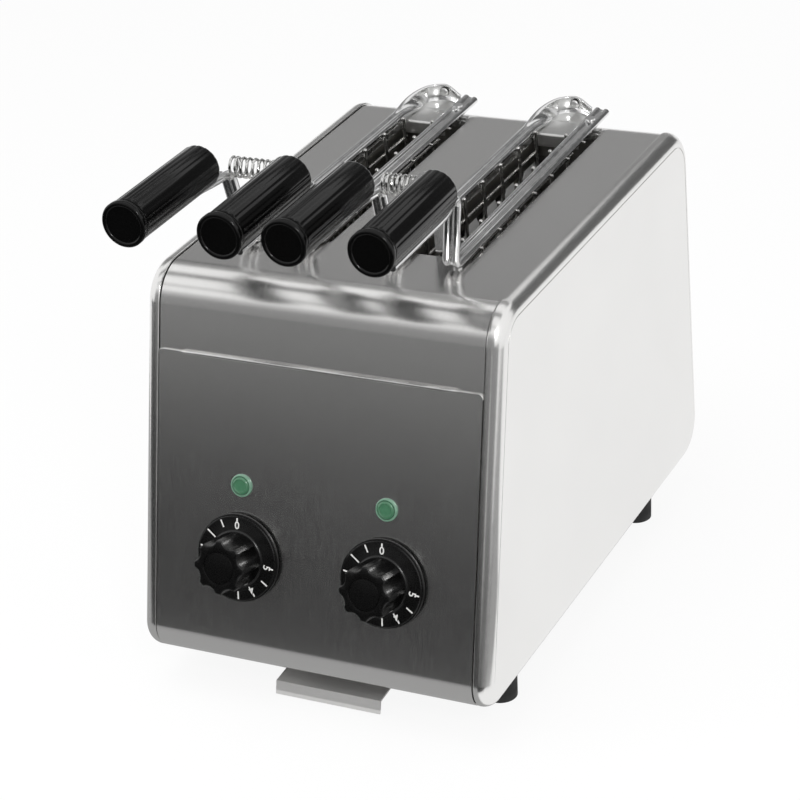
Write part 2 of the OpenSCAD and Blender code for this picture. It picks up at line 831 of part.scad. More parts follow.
// The stop plate is riveted to the bow, lies over the cover and turns down into the slot's rear end.
module stop_plate(side) {
    r = bow_r - sheet_t / 2 - joint_gap;
    turn_in = 10;
    y2 = -slot_near - turn_in;
    x1 = arm_x + 2 * pin_r;
    x2 = slot_w / 2 - abs(tong_shift) - 2 * move_gap;
    ear_w = 4;
    ear_x = bow_r + ear_w;
    ear_y = -slot_near + 1;
    color(bright) tong(side) difference() {
        union() {
            intersection() {
                translate([0, 0, rest_z]) cylinder(r = r - joint_gap, h = sheet_t);
                block([-bow_r, -1, rest_z - 1], [bow_r, bow_r, rest_top + 1]);
            }
            block([-x1, -slot_near, rest_z], [x1, 0, rest_top]);
            block([-x2, y2, rest_z], [x2, 0, rest_top]);
            block([-x2, y2, -2 * liner_h], [x2, y2 + sheet_t, rest_top]);
            block([-ear_x, ear_y, rest_z], [ear_x, ear_y + ear_w, rest_top]);
            ring_piece(r - sheet_t, r, rivet_angle - 20, rivet_angle + 20, rest_z, bow_h - 2);
            at_rivet() {
                front_bar(screw_r, r - sheet_t, bow_r + sheet_t);
                front_bar(1.5 * screw_r, r - 2 * sheet_t, r - sheet_t / 2);
            }
        }
        translate([arm_x, 0, rest_z - 1]) cylinder(r = pin_r + pin_gap, h = sheet_t + 2);
    }
}

// A cage: upright wires with bread feet at their lower ends, tied by long wires, hung under the strip.
module cage_wires() {
    last = wire_first + (wire_count - 1) * wire_pitch;
    color(bright) {
        for (i = [0 : wire_count - 1])
            translate([wire_x, -(wire_first + i * wire_pitch), -cage_depth]) {
                translate([0, 0, -wire_r]) cylinder(r = wire_r, h = cage_depth + strip_mid + wire_r);
                rotate([0, -90, 0]) cylinder(r = 0.9 * wire_r, h = hook_len);
            }
        for (j = [0 : rail_count - 1])
            translate([wire_x + wire_r, -wire_first + 4, -(j + 0.3) * cage_depth / rail_count])
                rotate([90, 0, 0]) cylinder(r = wire_r, h = last - wire_first + 6);
    }
}

// A fluted grip with a capped front end, seated on the tang.
module grip_body(side) {
    front = -(grip_back + grip_len);
    half_seat = strip_w / 2 + joint_gap;
    seat_end = front + 2 * cap_len - joint_gap;
    cap_rim = 0.5;
    dish_d = 0.8;
    color(black) lean_out(side) translate([0, 0, grip_z]) difference() {
        union() {
            translate([0, front, 0]) front_bar(grip_r, 0, grip_len);
            translate([0, front, 0]) front_bar(grip_r + cap_rim, 2 * cap_rim, cap_len - 2 * cap_rim);
        }
        for (i = [0 : grip_flutes - 1])
            rotate([0, i * 360 / grip_flutes, 0]) translate([0, front, grip_r + flute_r * 0.55])
                front_bar(flute_r, cap_len, grip_len + 1);
        translate([0, front, 0]) front_bar(grip_r - 4 * cap_rim, -dish_d, dish_d);
        block([-half_seat, seat_end, -2 * grip_r], [half_seat, -grip_back + 1, seat_d - grip_r]);
    }
}

// A spring between the two posts: one tube swept along a helix about X, with a straight lead at each end.
spring_rings = 8;
spring_sides = 6;

function post_inner(side) =
    arm_x + spring_reach * sin(tong_open(side)) - strip_w / 2 + (tang_z - strip_mid) * sin(tong_lean(side));

function spring_half(side) = post_inner(side) - move_gap;

function spring_path(side) =
    let (
        half = spring_half(side),
        lead = 2 * spring_wire_r,
        coil = half - lead,
        n = spring_turns * spring_rings
    )
    concat(
        [[-half, -90]],
        [for (i = [0 : n]) [-coil + 2 * coil * i / n, i * 360 / spring_rings - 90]],
        [[half, n * 360 / spring_rings - 90]]
    );

function spring_point(q) = [q[0], spring_r * cos(q[1]), spring_r * sin(q[1])];

function unit(v) = v / norm(v);

function spring_mesh(pts, ang) =
    let (last = len(pts) - 1)
    [for (i = [0 : last])
        let (
            along = unit(pts[min(i + 1, last)] - pts[max(i - 1, 0)]),
            radial = [0, cos(ang[i]), sin(ang[i])],
            side = unit(cross(along, radial)),
            up = cross(side, along)
        )
        for (k = [0 : spring_sides - 1])
            pts[i] + spring_wire_r * (cos(k * 360 / spring_sides) * up + sin(k * 360 / spring_sides) * side)
    ];

function spring_faces(count) =
    let (s = spring_sides)
    concat(
        [for (i = [0 : count - 2], k = [0 : s - 1]) [i * s + k, i * s + (k + 1) % s, (i + 1) * s + k]],
        [for (i = [0 : count - 2], k = [0 : s - 1])
            [i * s + (k + 1) % s, (i + 1) * s + (k + 1) % s, (i + 1) * s + k]],
        [for (k = [1 : s - 2]) [0, k + 1, k]],
        [for (k = [1 : s - 2]) [(count - 1) * s, (count - 1) * s + k, (count - 1) * s + k + 1]]
    );

function spring_gap(pts) =
    min([for (i = [0 : len(pts) - 1], j = [i + spring_rings / 2 : 1 : len(pts) - 1]) norm(pts[i] - pts[j])])
    - 2 * spring_wire_r;

module spring(side) {
    path = spring_path(side);
    pts = [for (q = path) spring_point(q)];
    ang = [for (q = path) q[1]];
    echo(spring = side, least_gap = spring_gap(pts));
    color(bright) tong(side) translate([0, -spring_reach, spring_z])
        polyhedron(spring_mesh(pts, ang), spring_faces(len(pts)));
}

module left_tong_bow() { tong_bow(-1); }
module left_tong_arm() { tong_arm(-1); }
module left_bow_cage() { still(-1) cage_wires(); }
module left_arm_cage() { swing(-1) cage_wires(); }
module left_bow_grip() { still(-1) grip_body(-1); }
module left_arm_grip() { swing(-1) grip_body(-1); }
module left_hinge_pin() { hinge_pin(-1); }
module left_stop_plate() { stop_plate(-1); }
module left_spring() { spring(-1); }
module right_tong_bow() { tong_bow(1); }
module right_tong_arm() { tong_arm(1); }
module right_bow_cage() { still(1) cage_wires(); }
module right_arm_cage() { swing(1) cage_wires(); }
module right_bow_grip() { still(1) grip_body(1); }
module right_arm_grip() { swing(1) grip_body(1); }
module right_hinge_pin() { hinge_pin(1); }
module right_stop_plate() { stop_plate(1); }
module right_spring() { spring(1); }

left_cheek();
right_cheek();
top_cover();
control_panel();
back_panel();
base_plate();
feet();
foot_screws();
tray_runners();
crumb_tray();
slot_liners();
front_wall();
rear_wall();
reflectors();
quartz_tubes();
tube_ends();
timers();
timer_nuts();
left_shaft();
right_shaft();
left_knob();
right_knob();
lamp_bezels();
lamp_lenses();
lamp_bodies();
terminal_block();
cable_gland();
back_screws();
left_tong_bow();
left_tong_arm();
left_bow_cage();
left_arm_cage();
left_bow_grip();
left_arm_grip();
left_hinge_pin();
left_stop_plate();
left_spring();
right_tong_bow();
right_tong_arm();
right_bow_cage();
right_arm_cage();
right_bow_grip();
right_arm_grip();
right_hinge_pin();
right_stop_plate();
right_spring();
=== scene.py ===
import math

import bmesh
import bpy
from mathutils import Matrix, Vector


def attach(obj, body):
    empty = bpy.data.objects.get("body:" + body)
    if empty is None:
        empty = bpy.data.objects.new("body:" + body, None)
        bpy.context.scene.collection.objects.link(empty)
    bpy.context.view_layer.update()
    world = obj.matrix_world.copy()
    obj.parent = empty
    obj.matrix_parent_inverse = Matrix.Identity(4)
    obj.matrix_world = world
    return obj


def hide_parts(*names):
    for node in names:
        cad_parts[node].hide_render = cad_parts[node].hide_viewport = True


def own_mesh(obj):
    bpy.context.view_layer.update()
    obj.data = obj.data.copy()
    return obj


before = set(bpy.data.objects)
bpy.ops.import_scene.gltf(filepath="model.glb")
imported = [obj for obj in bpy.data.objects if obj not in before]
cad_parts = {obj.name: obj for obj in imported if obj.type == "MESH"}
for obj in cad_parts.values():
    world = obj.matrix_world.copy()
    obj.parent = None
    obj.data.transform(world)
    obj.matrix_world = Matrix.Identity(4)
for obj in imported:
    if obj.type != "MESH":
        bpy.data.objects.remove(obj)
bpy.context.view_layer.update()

# Sizes are in millimetres, as in the part's source; make() turns them into metres.
MM = 0.001

# Radius of the last ring of a turned or domed end
TIP_R = 0.02

# Housing
TOE_Y = -158.49
BACK_Y = 164.51
BODY_Z = 22.5
TOP_Z = 234.5
LEAN = math.radians(14.8)
CORNER_R = 24.0
TOE_R = 16.0
EDGE_R = 8.0
SIDE_GROOVE = 0.6
HALF_W = 105.0
SEAM_X = 96.0
SHEET_X = 95.4
SHEET_T = 1.0
COVER_IN = 1.1
FLANGE_IN = 2.2
FLANGE_D = 13.0
PANEL_H = 176.5
PANEL_LAP = 12.0
PANEL_CORNER_R = 2.5
PANEL_BEAD_R = 1.15
PANEL_BEAD_X = 82.0
COVER_TOP = TOP_Z - COVER_IN

# Slots in the cover
SLOT_X = 42.4
SLOT_W = 38.0
SLOT_LEN = 179.0
SLOT_FRONT = 115.0
SLOT_R = 3.0
SLOT_LIP = 4.0
SLOT_ROLL = 0.8

# Feet
FOOT_X = 85.5
FOOT_INSET_Y = 60.0
FOOT_R = 10.0

# Controls
CONTROL_X = 43.3
DIAL_H = 68.0
LAMP_H = 107.8
SKIRT_GAP = 1.5
SKIRT_R = 24.5
SKIRT_T = 3.0
KNOB_R = 15.0
KNOB_H = 19.8
KNOB_LOBES = 8
MINUTE_DEG = 52.6
LENS_R = 5.0
BEZEL_W = 1.3

# Tongs
HINGE_Y = TOE_Y + 300.0
TONG_LIFT = 2.4
TONG_Z = COVER_TOP + TONG_LIFT
TONG_SHIFT = -4.6
ARM_X = 15.5
OPEN = {"left": math.radians(0.3), "right": math.radians(0.45)}
TURN = {"left": 0.0, "right": math.radians(0.6)}
TONG_LEAN = {"left": math.radians(11.5), "right": math.radians(6.4)}
SIDE = {"left": -1, "right": 1}
STRIP_W = 9.5
BEAD_R = 1.5
STRIP_MID = BEAD_R
POST_REACH = 203.0
POST_H = 40.5
TAIL_LEN = 18.2
BEND_R = 5.0
TANG_Z = STRIP_MID + POST_H
REST_Z = -TONG_LIFT + 0.3
PEG_R = 2.5
PEG_Y = -194.0
BOW_R = ARM_X + 3.1
BOW_H = 11.5
BOW_BEAD_R = 0.7
# Middle line of the bow seen from above: hinge end, apex and shoulder, each with its tangent
BOW_KNOTS = (((10.0, 15.5), (-9.0, 4.5)), ((-1.5, 18.7), (-10.0, -0.8)), ((-10.2, 13.6), (-5.0, -7.5)))
RAIL_BEAD_R = 2.15
TWIST_LEN = 18.0
STOP_DROP = 9.0
GUARD_Y = -182.0
GUARD_UP = 21.0
GUARD_DOWN = 20.0
GUARD_W = 15.0
GRIP_BACK = 224.0
GRIP_LEN = 80.0
GRIP_R = 12.1
GRIP_FLUTES = 18
FLUTE_R = 1.2
CAP_LEN = 5.0
SEAT_D = 1.5
GRIP_Z = TANG_Z + BEAD_R + 0.1 + GRIP_R - SEAT_D
TANG_ROLL = math.radians(24)
FLUTE_SHARE = 0.4
WIRE_R = 1.25
WIRE_X = -(STRIP_W / 2 + WIRE_R + 0.05)
WIRE_FIRST = 23.0
WIRE_PITCH = 25.0
WIRE_COUNT = 7
CAGE_DEPTH = 140.0
HOOK_LEN = 4.0
STUB_R = 0.85
STUB_Z = -1.0
LONG_WIRES = (10.5, 27.0, 45.5, 80.5, 115.5)
SPRING_R = 5.1
SPRING_WIRE_R = 0.8
SPRING_TURNS = 11
SPRING_REACH = POST_REACH + BEND_R
SPRING_Z = TANG_Z + SPRING_R


def quarter(steps):
    """Angles of a quarter turn, both ends included."""
    return [math.pi / 2 * i / steps for i in range(steps + 1)]


def circle(steps):
    """Angles of a full turn."""
    return [2 * math.pi * k / steps for k in range(steps)]


def ease(u):
    """A smooth step from 0 to 1."""
    u = min(1.0, max(0.0, u))
    return u * u * (3 - 2 * u)


def hermite(p0, t0, p1, t1, u):
    """A point of the curve from p0 to p1 with end tangents t0 and t1."""
    return (p0 * (2 * u ** 3 - 3 * u ** 2 + 1) + t0 * (u ** 3 - 2 * u ** 2 + u)
            + p1 * (-2 * u ** 3 + 3 * u ** 2) + t1 * (u ** 3 - u ** 2))


def corner_centres():
    """Centres of the four rounded corners of the side outline: low, rear, top and toe."""
    tan = math.tan(LEAN)
    cos = math.cos(LEAN)
    toe = (TOE_Y + TOE_R * tan + TOE_R / cos, BODY_Z + TOE_R)
    top = (TOE_Y + (TOP_Z - BODY_Z - CORNER_R) * tan + CORNER_R / cos, TOP_Z - CORNER_R)
    rear = (BACK_Y - CORNER_R, TOP_Z - CORNER_R)
    low = (BACK_Y - CORNER_R, BODY_Z + CORNER_R)
    return low, rear, top, toe


LOW, REAR, TOP, TOE = corner_centres()


def corner_arc(centre, inset, start, end, steps, radius=CORNER_R):
    """Points of a corner arc in the Y-Z plane; angles in degrees."""
    points = []
    for i in range(steps + 1):
        a = math.radians(start + (end - start) * i / steps)
        r = radius - inset
        points.append((centre[0] + r * math.cos(a), centre[1] + r * math.sin(a)))
    return points


def outline(inset, steps=28):
    """The side outline, drawn in by inset."""
    lean = math.degrees(LEAN)
    points = corner_arc(LOW, inset, -90, 0, steps)
    points += corner_arc(REAR, inset, 0, 90, steps)
    points += corner_arc(TOP, inset, 90, 180 - lean, steps)
    points += corner_arc(TOE, inset, 180 - lean, 270, steps, TOE_R)
    return points


def loft(rings, closed=True, cap_start=False, cap_end=False):
    """A surface through rings of equal length."""
    count = len(rings[0])
    verts = [p for ring in rings for p in ring]
    faces = []
    spans = count if closed else count - 1
    for i in range(len(rings) - 1):
        for k in range(spans):
            n = (k + 1) % count
            faces.append((i * count + k, i * count + n, (i + 1) * count + n, (i + 1) * count + k))
    if cap_start:
        faces.append(tuple(reversed(range(count))))
    if cap_end:
        faces.append(tuple(range((len(rings) - 1) * count, len(rings) * count)))
    return verts, faces


def solid(rings):
    """A surface through rings, closed at both ends."""
    return loft(rings, cap_start=True, cap_end=True)


def along_x(section, ends):
    """Rings of a (y, z) section at each of the given X."""
    return [[(x, y, z) for y, z in section] for x in ends]


def lathe(profile, steps=64):
    """Turns (radius, height) points about the local Z axis."""
    turns = circle(steps)
    return loft([[(r * math.cos(a), r * math.sin(a), h) for a in turns] for r, h in profile])


def filled(loops):
    """A flat sheet inside the first loop, with the other loops cut out."""
    bm = bmesh.new()
    edges = []
    for loop in loops:
        made = [bm.verts.new(p) for p in loop]
        for i, vert in enumerate(made):
            edges.append(bm.edges.new((vert, made[(i + 1) % len(made)])))
    bmesh.ops.triangle_fill(bm, use_beauty=True, use_dissolve=False, edges=edges)
    bm.verts.index_update()
    verts = [tuple(v.co) for v in bm.verts]
    faces = [tuple(v.index for v in f.verts) for f in bm.faces]
    bm.free()
    return verts, faces


def box(a, b):
    """A box from corner a to corner b."""
    verts = [(x, y, z) for x in (a[0], b[0]) for y in (a[1], b[1]) for z in (a[2], b[2])]
    faces = [(0, 1, 3, 2), (4, 6, 7, 5), (0, 4, 5, 1), (2, 3, 7, 6), (0, 2, 6, 4), (1, 5, 7, 3)]
    return verts, faces


def tangents(points):
    """The direction of a path at each of its points."""
    last = len(points) - 1
    return [(points[min(i + 1, last)] - points[max(i - 1, 0)]).normalized() for i in range(last + 1)]


def tube(points, radius, sides=12):
    """A round wire along the points, carried along without twisting; radius may be a list."""
    points = [Vector(p) for p in points]
    radii = radius if isinstance(radius, list) else [radius] * len(points)
    along = tangents(points)
    across = along[0].orthogonal().normalized()
    rings = []
    for p, t, r in zip(points, along, radii):
        across = (across - t * across.dot(t)).normalized()
        other = t.cross(across)
        rings.append([p + r * (math.cos(a) * across + math.sin(a) * other) for a in circle(sides)])
    return solid(rings)


def moved(part, matrix):
    """A part carried into another frame."""
    verts, faces = part
    return [matrix @ Vector(v) for v in verts], faces


def new_object(name, data):
    """An object in the scene."""
    obj = bpy.data.objects.new(name, data)
    bpy.context.scene.collection.objects.link(obj)
    return obj


def make(name, parts, material, body, replaces=(), sharp=35, weighted=False):
    """One piece from several parts, welded into one mesh, riding on a body."""
    bm = bmesh.new()
    for verts, faces in parts:
        made = [bm.verts.new(Vector(v) * MM) for v in verts]
        for face in faces:
            bm.faces.new([made[i] for i in face])
    bmesh.ops.remove_doubles(bm, verts=bm.verts, dist=1e-7)
    bmesh.ops.recalc_face_normals(bm, faces=bm.faces)
    mesh = bpy.data.meshes.new(name)
    bm.to_mesh(mesh)
    bm.free()
    for polygon in mesh.polygons:
        polygon.use_smooth = True
    mesh.set_sharp_from_angle(angle=math.radians(sharp))
    mesh.materials.append(material)
    obj = new_object(name, mesh)
    if weighted:
        modifier = obj.modifiers.new("normals", "WEIGHTED_NORMAL")
        modifier.keep_sharp = True
    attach(obj, body)
    if replaces:
        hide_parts(*replaces)
    return obj


def set_inputs(node, values):
    """Sets a node's inputs; an underscore in a name stands for a space."""
    for key, value in values.items():
        node.inputs[key.replace("_", " ")].default_value = value


def add_node(tree, kind, **values):
    """A new node with its inputs set."""
    node = tree.nodes.new(kind)
    set_inputs(node, values)
    return node


class Graph:
    """Builds a node material."""

    def __init__(self, name, colour, metallic=0.0, roughness=0.5):
        self.material = bpy.data.materials.new(name)
        self.material.use_nodes = True
        self.tree = self.material.node_tree
        self.link = self.tree.links.new
        self.shader = self.tree.nodes["Principled BSDF"]
        self.colour = colour
        self.set(Base_Color=(*colour, 1), Metallic=metallic, Roughness=roughness)
        self.material.diffuse_color = (*colour, 1)

    def set(self, **values):
        """Sets inputs of the shader."""
        set_inputs(self.shader, values)

    def noise(self, scale, stretch=(1, 1, 1), detail=4.0):
        """A noise in object space, stretched by the given factors."""
        coords = add_node(self.tree, "ShaderNodeTexCoord")
        mapping = add_node(self.tree, "ShaderNodeMapping", Scale=stretch)
        texture = add_node(self.tree, "ShaderNodeTexNoise", Scale=scale, Detail=detail)
        self.link(coords.outputs["Object"], mapping.inputs["Vector"])
        self.link(mapping.outputs["Vector"], texture.inputs["Vector"])
        return texture.outputs["Fac"]

    def tint(self, source, dark, light):
        """Varies the base colour between dark and light times itself."""
        node = self.tree.nodes.new("ShaderNodeMix")
        node.data_type = "RGBA"
        node.inputs["A"].default_value = (*[c * dark for c in self.colour], 1)
        node.inputs["B"].default_value = (*[min(1, c * light) for c in self.colour], 1)
        self.link(source, node.inputs["Factor"])
        self.link(node.outputs["Result"], self.shader.inputs["Base Color"])

    def rough(self, source, low, high):
        """Varies the roughness from low to high; most of a noise lies between 0.3 and 0.7."""
        span = add_node(self.tree, "ShaderNodeMapRange", From_Min=0.3, From_Max=0.7)
        set_inputs(span, {"To_Min": low, "To_Max": high})
        self.link(source, span.inputs["Value"])
        self.link(span.outputs["Result"], self.shader.inputs["Roughness"])

    def bump(self, source, strength, distance):
        """Raises fine relief from a factor; distance is in metres."""
        node = add_node(self.tree, "ShaderNodeBump", Strength=strength, Distance=distance)
        self.link(source, node.inputs["Height"])
        self.link(node.outputs["Normal"], self.shader.inputs["Normal"])


def brushed_steel(name, colour, roughness, stretch, metallic=1.0):
    """Stainless sheet: fine brushing along one direction and a faint cloudiness."""
    g = Graph(name, colour, metallic=metallic, roughness=roughness)
    grain = g.noise(1400, stretch=stretch, detail=4)
    cloud = g.noise(14, detail=3)
    g.tint(cloud, 0.96, 1.04)
    g.rough(grain, roughness - 0.02, roughness + 0.03)
    g.bump(grain, 0.04, 0.00002)
    return g.material


def bright_metal(name, colour, roughness):
    """Plated wire and strip: smooth, with faint drawn marks and wear."""
    g = Graph(name, colour, metallic=1.0, roughness=roughness)
    marks = g.noise(220, detail=4)
    g.tint(g.noise(60, detail=2), 0.9, 1.05)
    g.rough(marks, roughness * 0.7, roughness * 1.4)
    g.bump(marks, 0.05, 0.00005)
    return g.material


def moulded_plastic(name, colour, roughness, specular):
    """Moulded plastic with a fine spark-eroded grain."""
    g = Graph(name, colour, roughness=roughness)
    grain = g.noise(2600, detail=2)
    g.tint(g.noise(90, detail=3), 0.85, 1.2)
    g.rough(grain, roughness - 0.05, roughness + 0.07)
    g.bump(grain, 0.06, 0.00003)
    g.set(Specular_IOR_Level=specular)
    return g.material


def mineral(name, colour, roughness):
    """Fired ceramic or rubber: matt, speckled."""
    g = Graph(name, colour, roughness=roughness)
    speckle = g.noise(700, detail=5)
    g.tint(speckle, 0.85, 1.1)
    g.rough(g.noise(120), roughness - 0.08, roughness + 0.08)
    g.bump(speckle, 0.15, 0.00006)
    return g.material


def quartz_glass():
    """Frosted quartz tube."""
    g = Graph("quartz", (0.86, 0.84, 0.8), roughness=0.35)
    cloud = g.noise(180, detail=3)
    g.tint(cloud, 0.9, 1.08)
    g.rough(cloud, 0.28, 0.45)
    g.set(Transmission_Weight=0.45, IOR=1.46)
    return g.material


def lens_plastic(name, colour):
    """Clear coloured plastic with a glossy face."""
    g = Graph(name, colour, roughness=0.16)
    cloud = g.noise(420, detail=3)
    g.tint(cloud, 0.8, 1.25)
    g.rough(cloud, 0.1, 0.24)
    g.set(Transmission_Weight=0.25, IOR=1.49, Coat_Weight=0.6, Coat_Roughness=0.08)
    return g.material


def print_ink():
    """White print on the dials."""
    g = Graph("print_white", (0.86, 0.86, 0.84), roughness=0.5)
    speckle = g.noise(1500, detail=3)
    g.tint(speckle, 0.85, 1.05)
    g.rough(speckle, 0.42, 0.58)
    return g.material


STEEL = (0.82, 0.815, 0.805)
FRONT = brushed_steel("steel_front", STEEL, 0.23, (1.0, 0.08, 0.08))
COVER = brushed_steel("steel_cover", STEEL, 0.22, (1.0, 0.05, 0.05))
CHEEK = brushed_steel("steel_cheek", STEEL, 0.22, (1.0, 0.05, 1.0))
TRAY = brushed_steel("steel_tray", (0.68, 0.675, 0.665), 0.36, (0.03, 1.0, 1.0), 0.6)
CHAMBER = brushed_steel("steel_chamber", (0.30, 0.29, 0.27), 0.38, (1.0, 0.05, 1.0))
CHROME = bright_metal("chrome_strip", (0.8, 0.8, 0.8), 0.16)
WIRE = bright_metal("cage_wire", (0.58, 0.575, 0.56), 0.22)
SPRING = bright_metal("spring_wire", (0.7, 0.7, 0.69), 0.15)
FIXING = bright_metal("fixing", (0.5, 0.5, 0.49), 0.24)
SATIN = brushed_steel("satin_plate", (0.72, 0.72, 0.71), 0.34, (1.0, 0.05, 0.05))
GRIP = moulded_plastic("grip_black", (0.002, 0.002, 0.002), 0.15, 0.27)
KNOB = moulded_plastic("knob_black", (0.002, 0.002, 0.002), 0.26, 0.5)
INNER = moulded_plastic("inner_plastic", (0.03, 0.03, 0.032), 0.45, 0.4)
RUBBER = mineral("foot_rubber", (0.018, 0.018, 0.018), 0.75)
GUARD = mineral("slot_guard", (0.74, 0.74, 0.73), 0.45)
CERAMIC = mineral("ceramic", (0.74, 0.71, 0.64), 0.55)
QUARTZ = quartz_glass()
LENS = lens_plastic("lens_green", (0.07, 0.21, 0.115))
# The collar is the lens plastic in a lighter green: a painted highlight that stands for the bright lit
# rim of the lens.
COLLAR_PAINTED_HIGHLIGHT = lens_plastic("lens_collar_painted_highlight", (0.2, 0.38, 0.27))
INK = print_ink()

# Braces stand for left and right.
NODE_MATERIALS = {
    CHEEK: ("{}_cheek", "back_panel", "base_plate", "tray_runners"),
    COVER: ("top_cover",),
    FRONT: ("control_panel",),
    TRAY: ("crumb_tray",),
    CHAMBER: ("slot_liners", "front_wall", "rear_wall", "reflectors"),
    QUARTZ: ("quartz_tubes",),
    CERAMIC: ("tube_ends", "timers", "terminal_block"),
    RUBBER: ("feet",),
    INNER: ("lamp_bodies", "cable_gland"),
    FIXING: ("foot_screws", "back_screws", "timer_nuts", "{}_shaft"),
    KNOB: ("{}_knob",),
    CHROME: ("lamp_bezels", "{}_tong_bow", "{}_tong_arm", "{}_hinge_pin", "{}_stop_plate"),
    WIRE: ("{}_bow_cage", "{}_arm_cage"),
    SPRING: ("{}_spring",),
    GRIP: ("{}_bow_grip", "{}_arm_grip"),
    LENS: ("lamp_lenses",),
}


def dress_nodes():
    """Gives every node of the frame its material."""
    for material, names in NODE_MATERIALS.items():
        for name in sorted({label.format(side) for label in names for side in SIDE}):
            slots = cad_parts[name].data.materials
            slots.clear()
            slots.append(material)


def cheek(side):
    """A pressed cheek: a flange under the sheets, a turned edge at the seam and a rounded border."""
    seam_roll = 0.7
    foot_margin = 3.0
    fade_from = 45.0
    fade_over = 50.0
    sections = [
        (SEAM_X - FLANGE_D, FLANGE_IN + SHEET_T),
        (SEAM_X - FLANGE_D, FLANGE_IN),
        (SEAM_X, FLANGE_IN),
    ]
    for a in quarter(4):
        sections.append((SEAM_X + seam_roll * (1 - math.cos(a)), seam_roll * (1 - math.sin(a))))
    for a in quarter(14):
        sections.append((HALF_W - EDGE_R + EDGE_R * math.sin(a), EDGE_R * (1 - math.cos(a))))
    rings = [[(side * x, y, z) for y, z in outline(inset)] for x, inset in sections]
    # The groove beside the border runs out towards the lower edge.
    for depth, along in ((SIDE_GROOVE, 0.1), (SIDE_GROOVE, 0.5), (0.0, 0.6)):
        ring = []
        for y, z in outline(EDGE_R + along):
            share = ease((z - fade_from) / fade_over)
            ring.append((side * (HALF_W - depth * share), y, z))
        rings.append(ring)
    # A pad on the flange carries the feet.
    z = BODY_Z + FLANGE_IN
    y0 = TOE_Y + FOOT_INSET_Y - 2 * FOOT_R
    y1 = BACK_Y - FOOT_INSET_Y + 2 * FOOT_R
    xs = sorted((side * (FOOT_X - FOOT_R - foot_margin), side * SEAM_X))
    pad = box((xs[0], y0, z), (xs[1], y1, z + SHEET_T))
    return [loft(rings, cap_end=True), pad]


def front_point(h, out=0.0):
    """A point of the leaning front, h up the front and out from it, as (y, z)."""
    y = TOE_Y + h * math.sin(LEAN) - out * math.cos(LEAN)
    z = BODY_Z + h * math.cos(LEAN) + out * math.sin(LEAN)
    return y, z


def panel_top(x):
    """Height of the panel's upper edge: level, with rounded ends."""
    over = abs(x) - (SHEET_X - PANEL_CORNER_R)
    if over <= 0:
        return PANEL_H
    return PANEL_H - PANEL_CORNER_R + math.sqrt(max(0.0, PANEL_CORNER_R ** 2 - over ** 2))


def panel_columns():
    """X of the panel's columns, close together where the upper corners turn."""
    turn = [SHEET_X - PANEL_CORNER_R + PANEL_CORNER_R * math.sin(a) for a in quarter(8)]
    right = [30.0, 60.0, PANEL_BEAD_X - 2, PANEL_BEAD_X, PANEL_BEAD_X + 1.5] + turn
    return [-x for x in reversed(right)] + [0.0] + right


def panel_profile(top_h, inset):
    """The panel's section at one column, from its lower edge up."""
    lean = math.degrees(LEAN)
    # The sheet turns under the toe as far as the base plate.
    lip_y = TOE_Y + CORNER_R * math.tan(LEAN) + CORNER_R / math.cos(LEAN)
    points = [(lip_y, BODY_Z + inset)]
    points += corner_arc(TOE, inset, 270, 180 - lean, 20, TOE_R)
    start = TOE_R * (1 + math.sin(LEAN)) / math.cos(LEAN)
    for share in (0.25, 0.5, 0.75, 0.92, 1.0):
        points.append(front_point(start + (top_h - start) * share, -inset))
    return points


def control_panel():
    """The lower front sheet, from under the toe to its upper edge."""
    rings = []
    for x in panel_columns():
        outer = panel_profile(panel_top(x), 0.0)
        inner = panel_profile(panel_top(x), SHEET_T)
        rings += along_x(outer + inner[::-1], [x])
    return [solid(rings)]


def panel_bead():
    """The rolled upper edge of the panel, which turns down into the seams."""
    end_share = 0.45
    points = []
    radii = []
    for x in panel_columns():
        r = PANEL_BEAD_R if abs(x) < PANEL_BEAD_X else PANEL_BEAD_R * end_share
        y, z = front_point(panel_top(x), r - SHEET_T)
        points.append((x, y, z))
        radii.append(r)
    return [tube(points, radii, sides=16)]


def slot_loop(side, grow, z):
    """A slot's edge, grown outwards by grow."""
    w = SLOT_W / 2 + grow
    l = SLOT_LEN / 2 + grow
    r = SLOT_R + grow
    mid = TOE_Y + SLOT_FRONT + SLOT_LEN / 2
    steps = 8
    points = []
    for turn, (sx, sy) in enumerate(((1, 1), (-1, 1), (-1, -1), (1, -1))):
        for i in range(steps + 1):
            a = math.pi / 2 * (turn + i / steps)
            x = sx * (w - r) + r * math.cos(a)
            y = sy * (l - r) + r * math.sin(a)
            points.append((side * SLOT_X + x, mid + y, z))
    return points


def top_cover():
    """The upper front band, the top and the upper back corner, with rolled slot edges."""
    lean = math.degrees(LEAN)
    ends = (-SHEET_X, SHEET_X)
    front = [front_point(PANEL_H - PANEL_LAP, -COVER_IN)]
    front += corner_arc(TOP, COVER_IN, 180 - lean, 90, 24)
    back = corner_arc(REAR, COVER_IN, 90, 0, 24)
    parts = [loft(along_x(section, ends), closed=False) for section in (front, back)]
    y0 = front[-1][0]
    y1 = back[0][0]
    corners = ((-SHEET_X, y0), (SHEET_X, y0), (SHEET_X, y1), (-SHEET_X, y1))
    loops = [[(x, y, COVER_TOP) for x, y in corners]]
    loops += [slot_loop(side, SLOT_ROLL, COVER_TOP) for side in (-1, 1)]
    parts.append(filled(loops))
    for side in (-1, 1):
        rings = []
        for a in quarter(5):
            grow = SLOT_ROLL * (1 - math.sin(a))
            fall = SLOT_ROLL * (1 - math.cos(a))
            rings.append(slot_loop(side, grow, COVER_TOP - fall))
        rings.append(slot_loop(side, 0.0, COVER_TOP - SLOT_LIP))
        parts.append(loft(rings))
    return parts


def front_matrix(x, h):
    """Local X right, Y up the front, Z straight out of it."""
    y, z = front_point(h)
    sin = math.sin(LEAN)
    cos = math.cos(LEAN)
    return Matrix(((1, 0, 0, x), (0, sin, -cos, y), (0, cos, sin, z), (0, 0, 0, 1)))


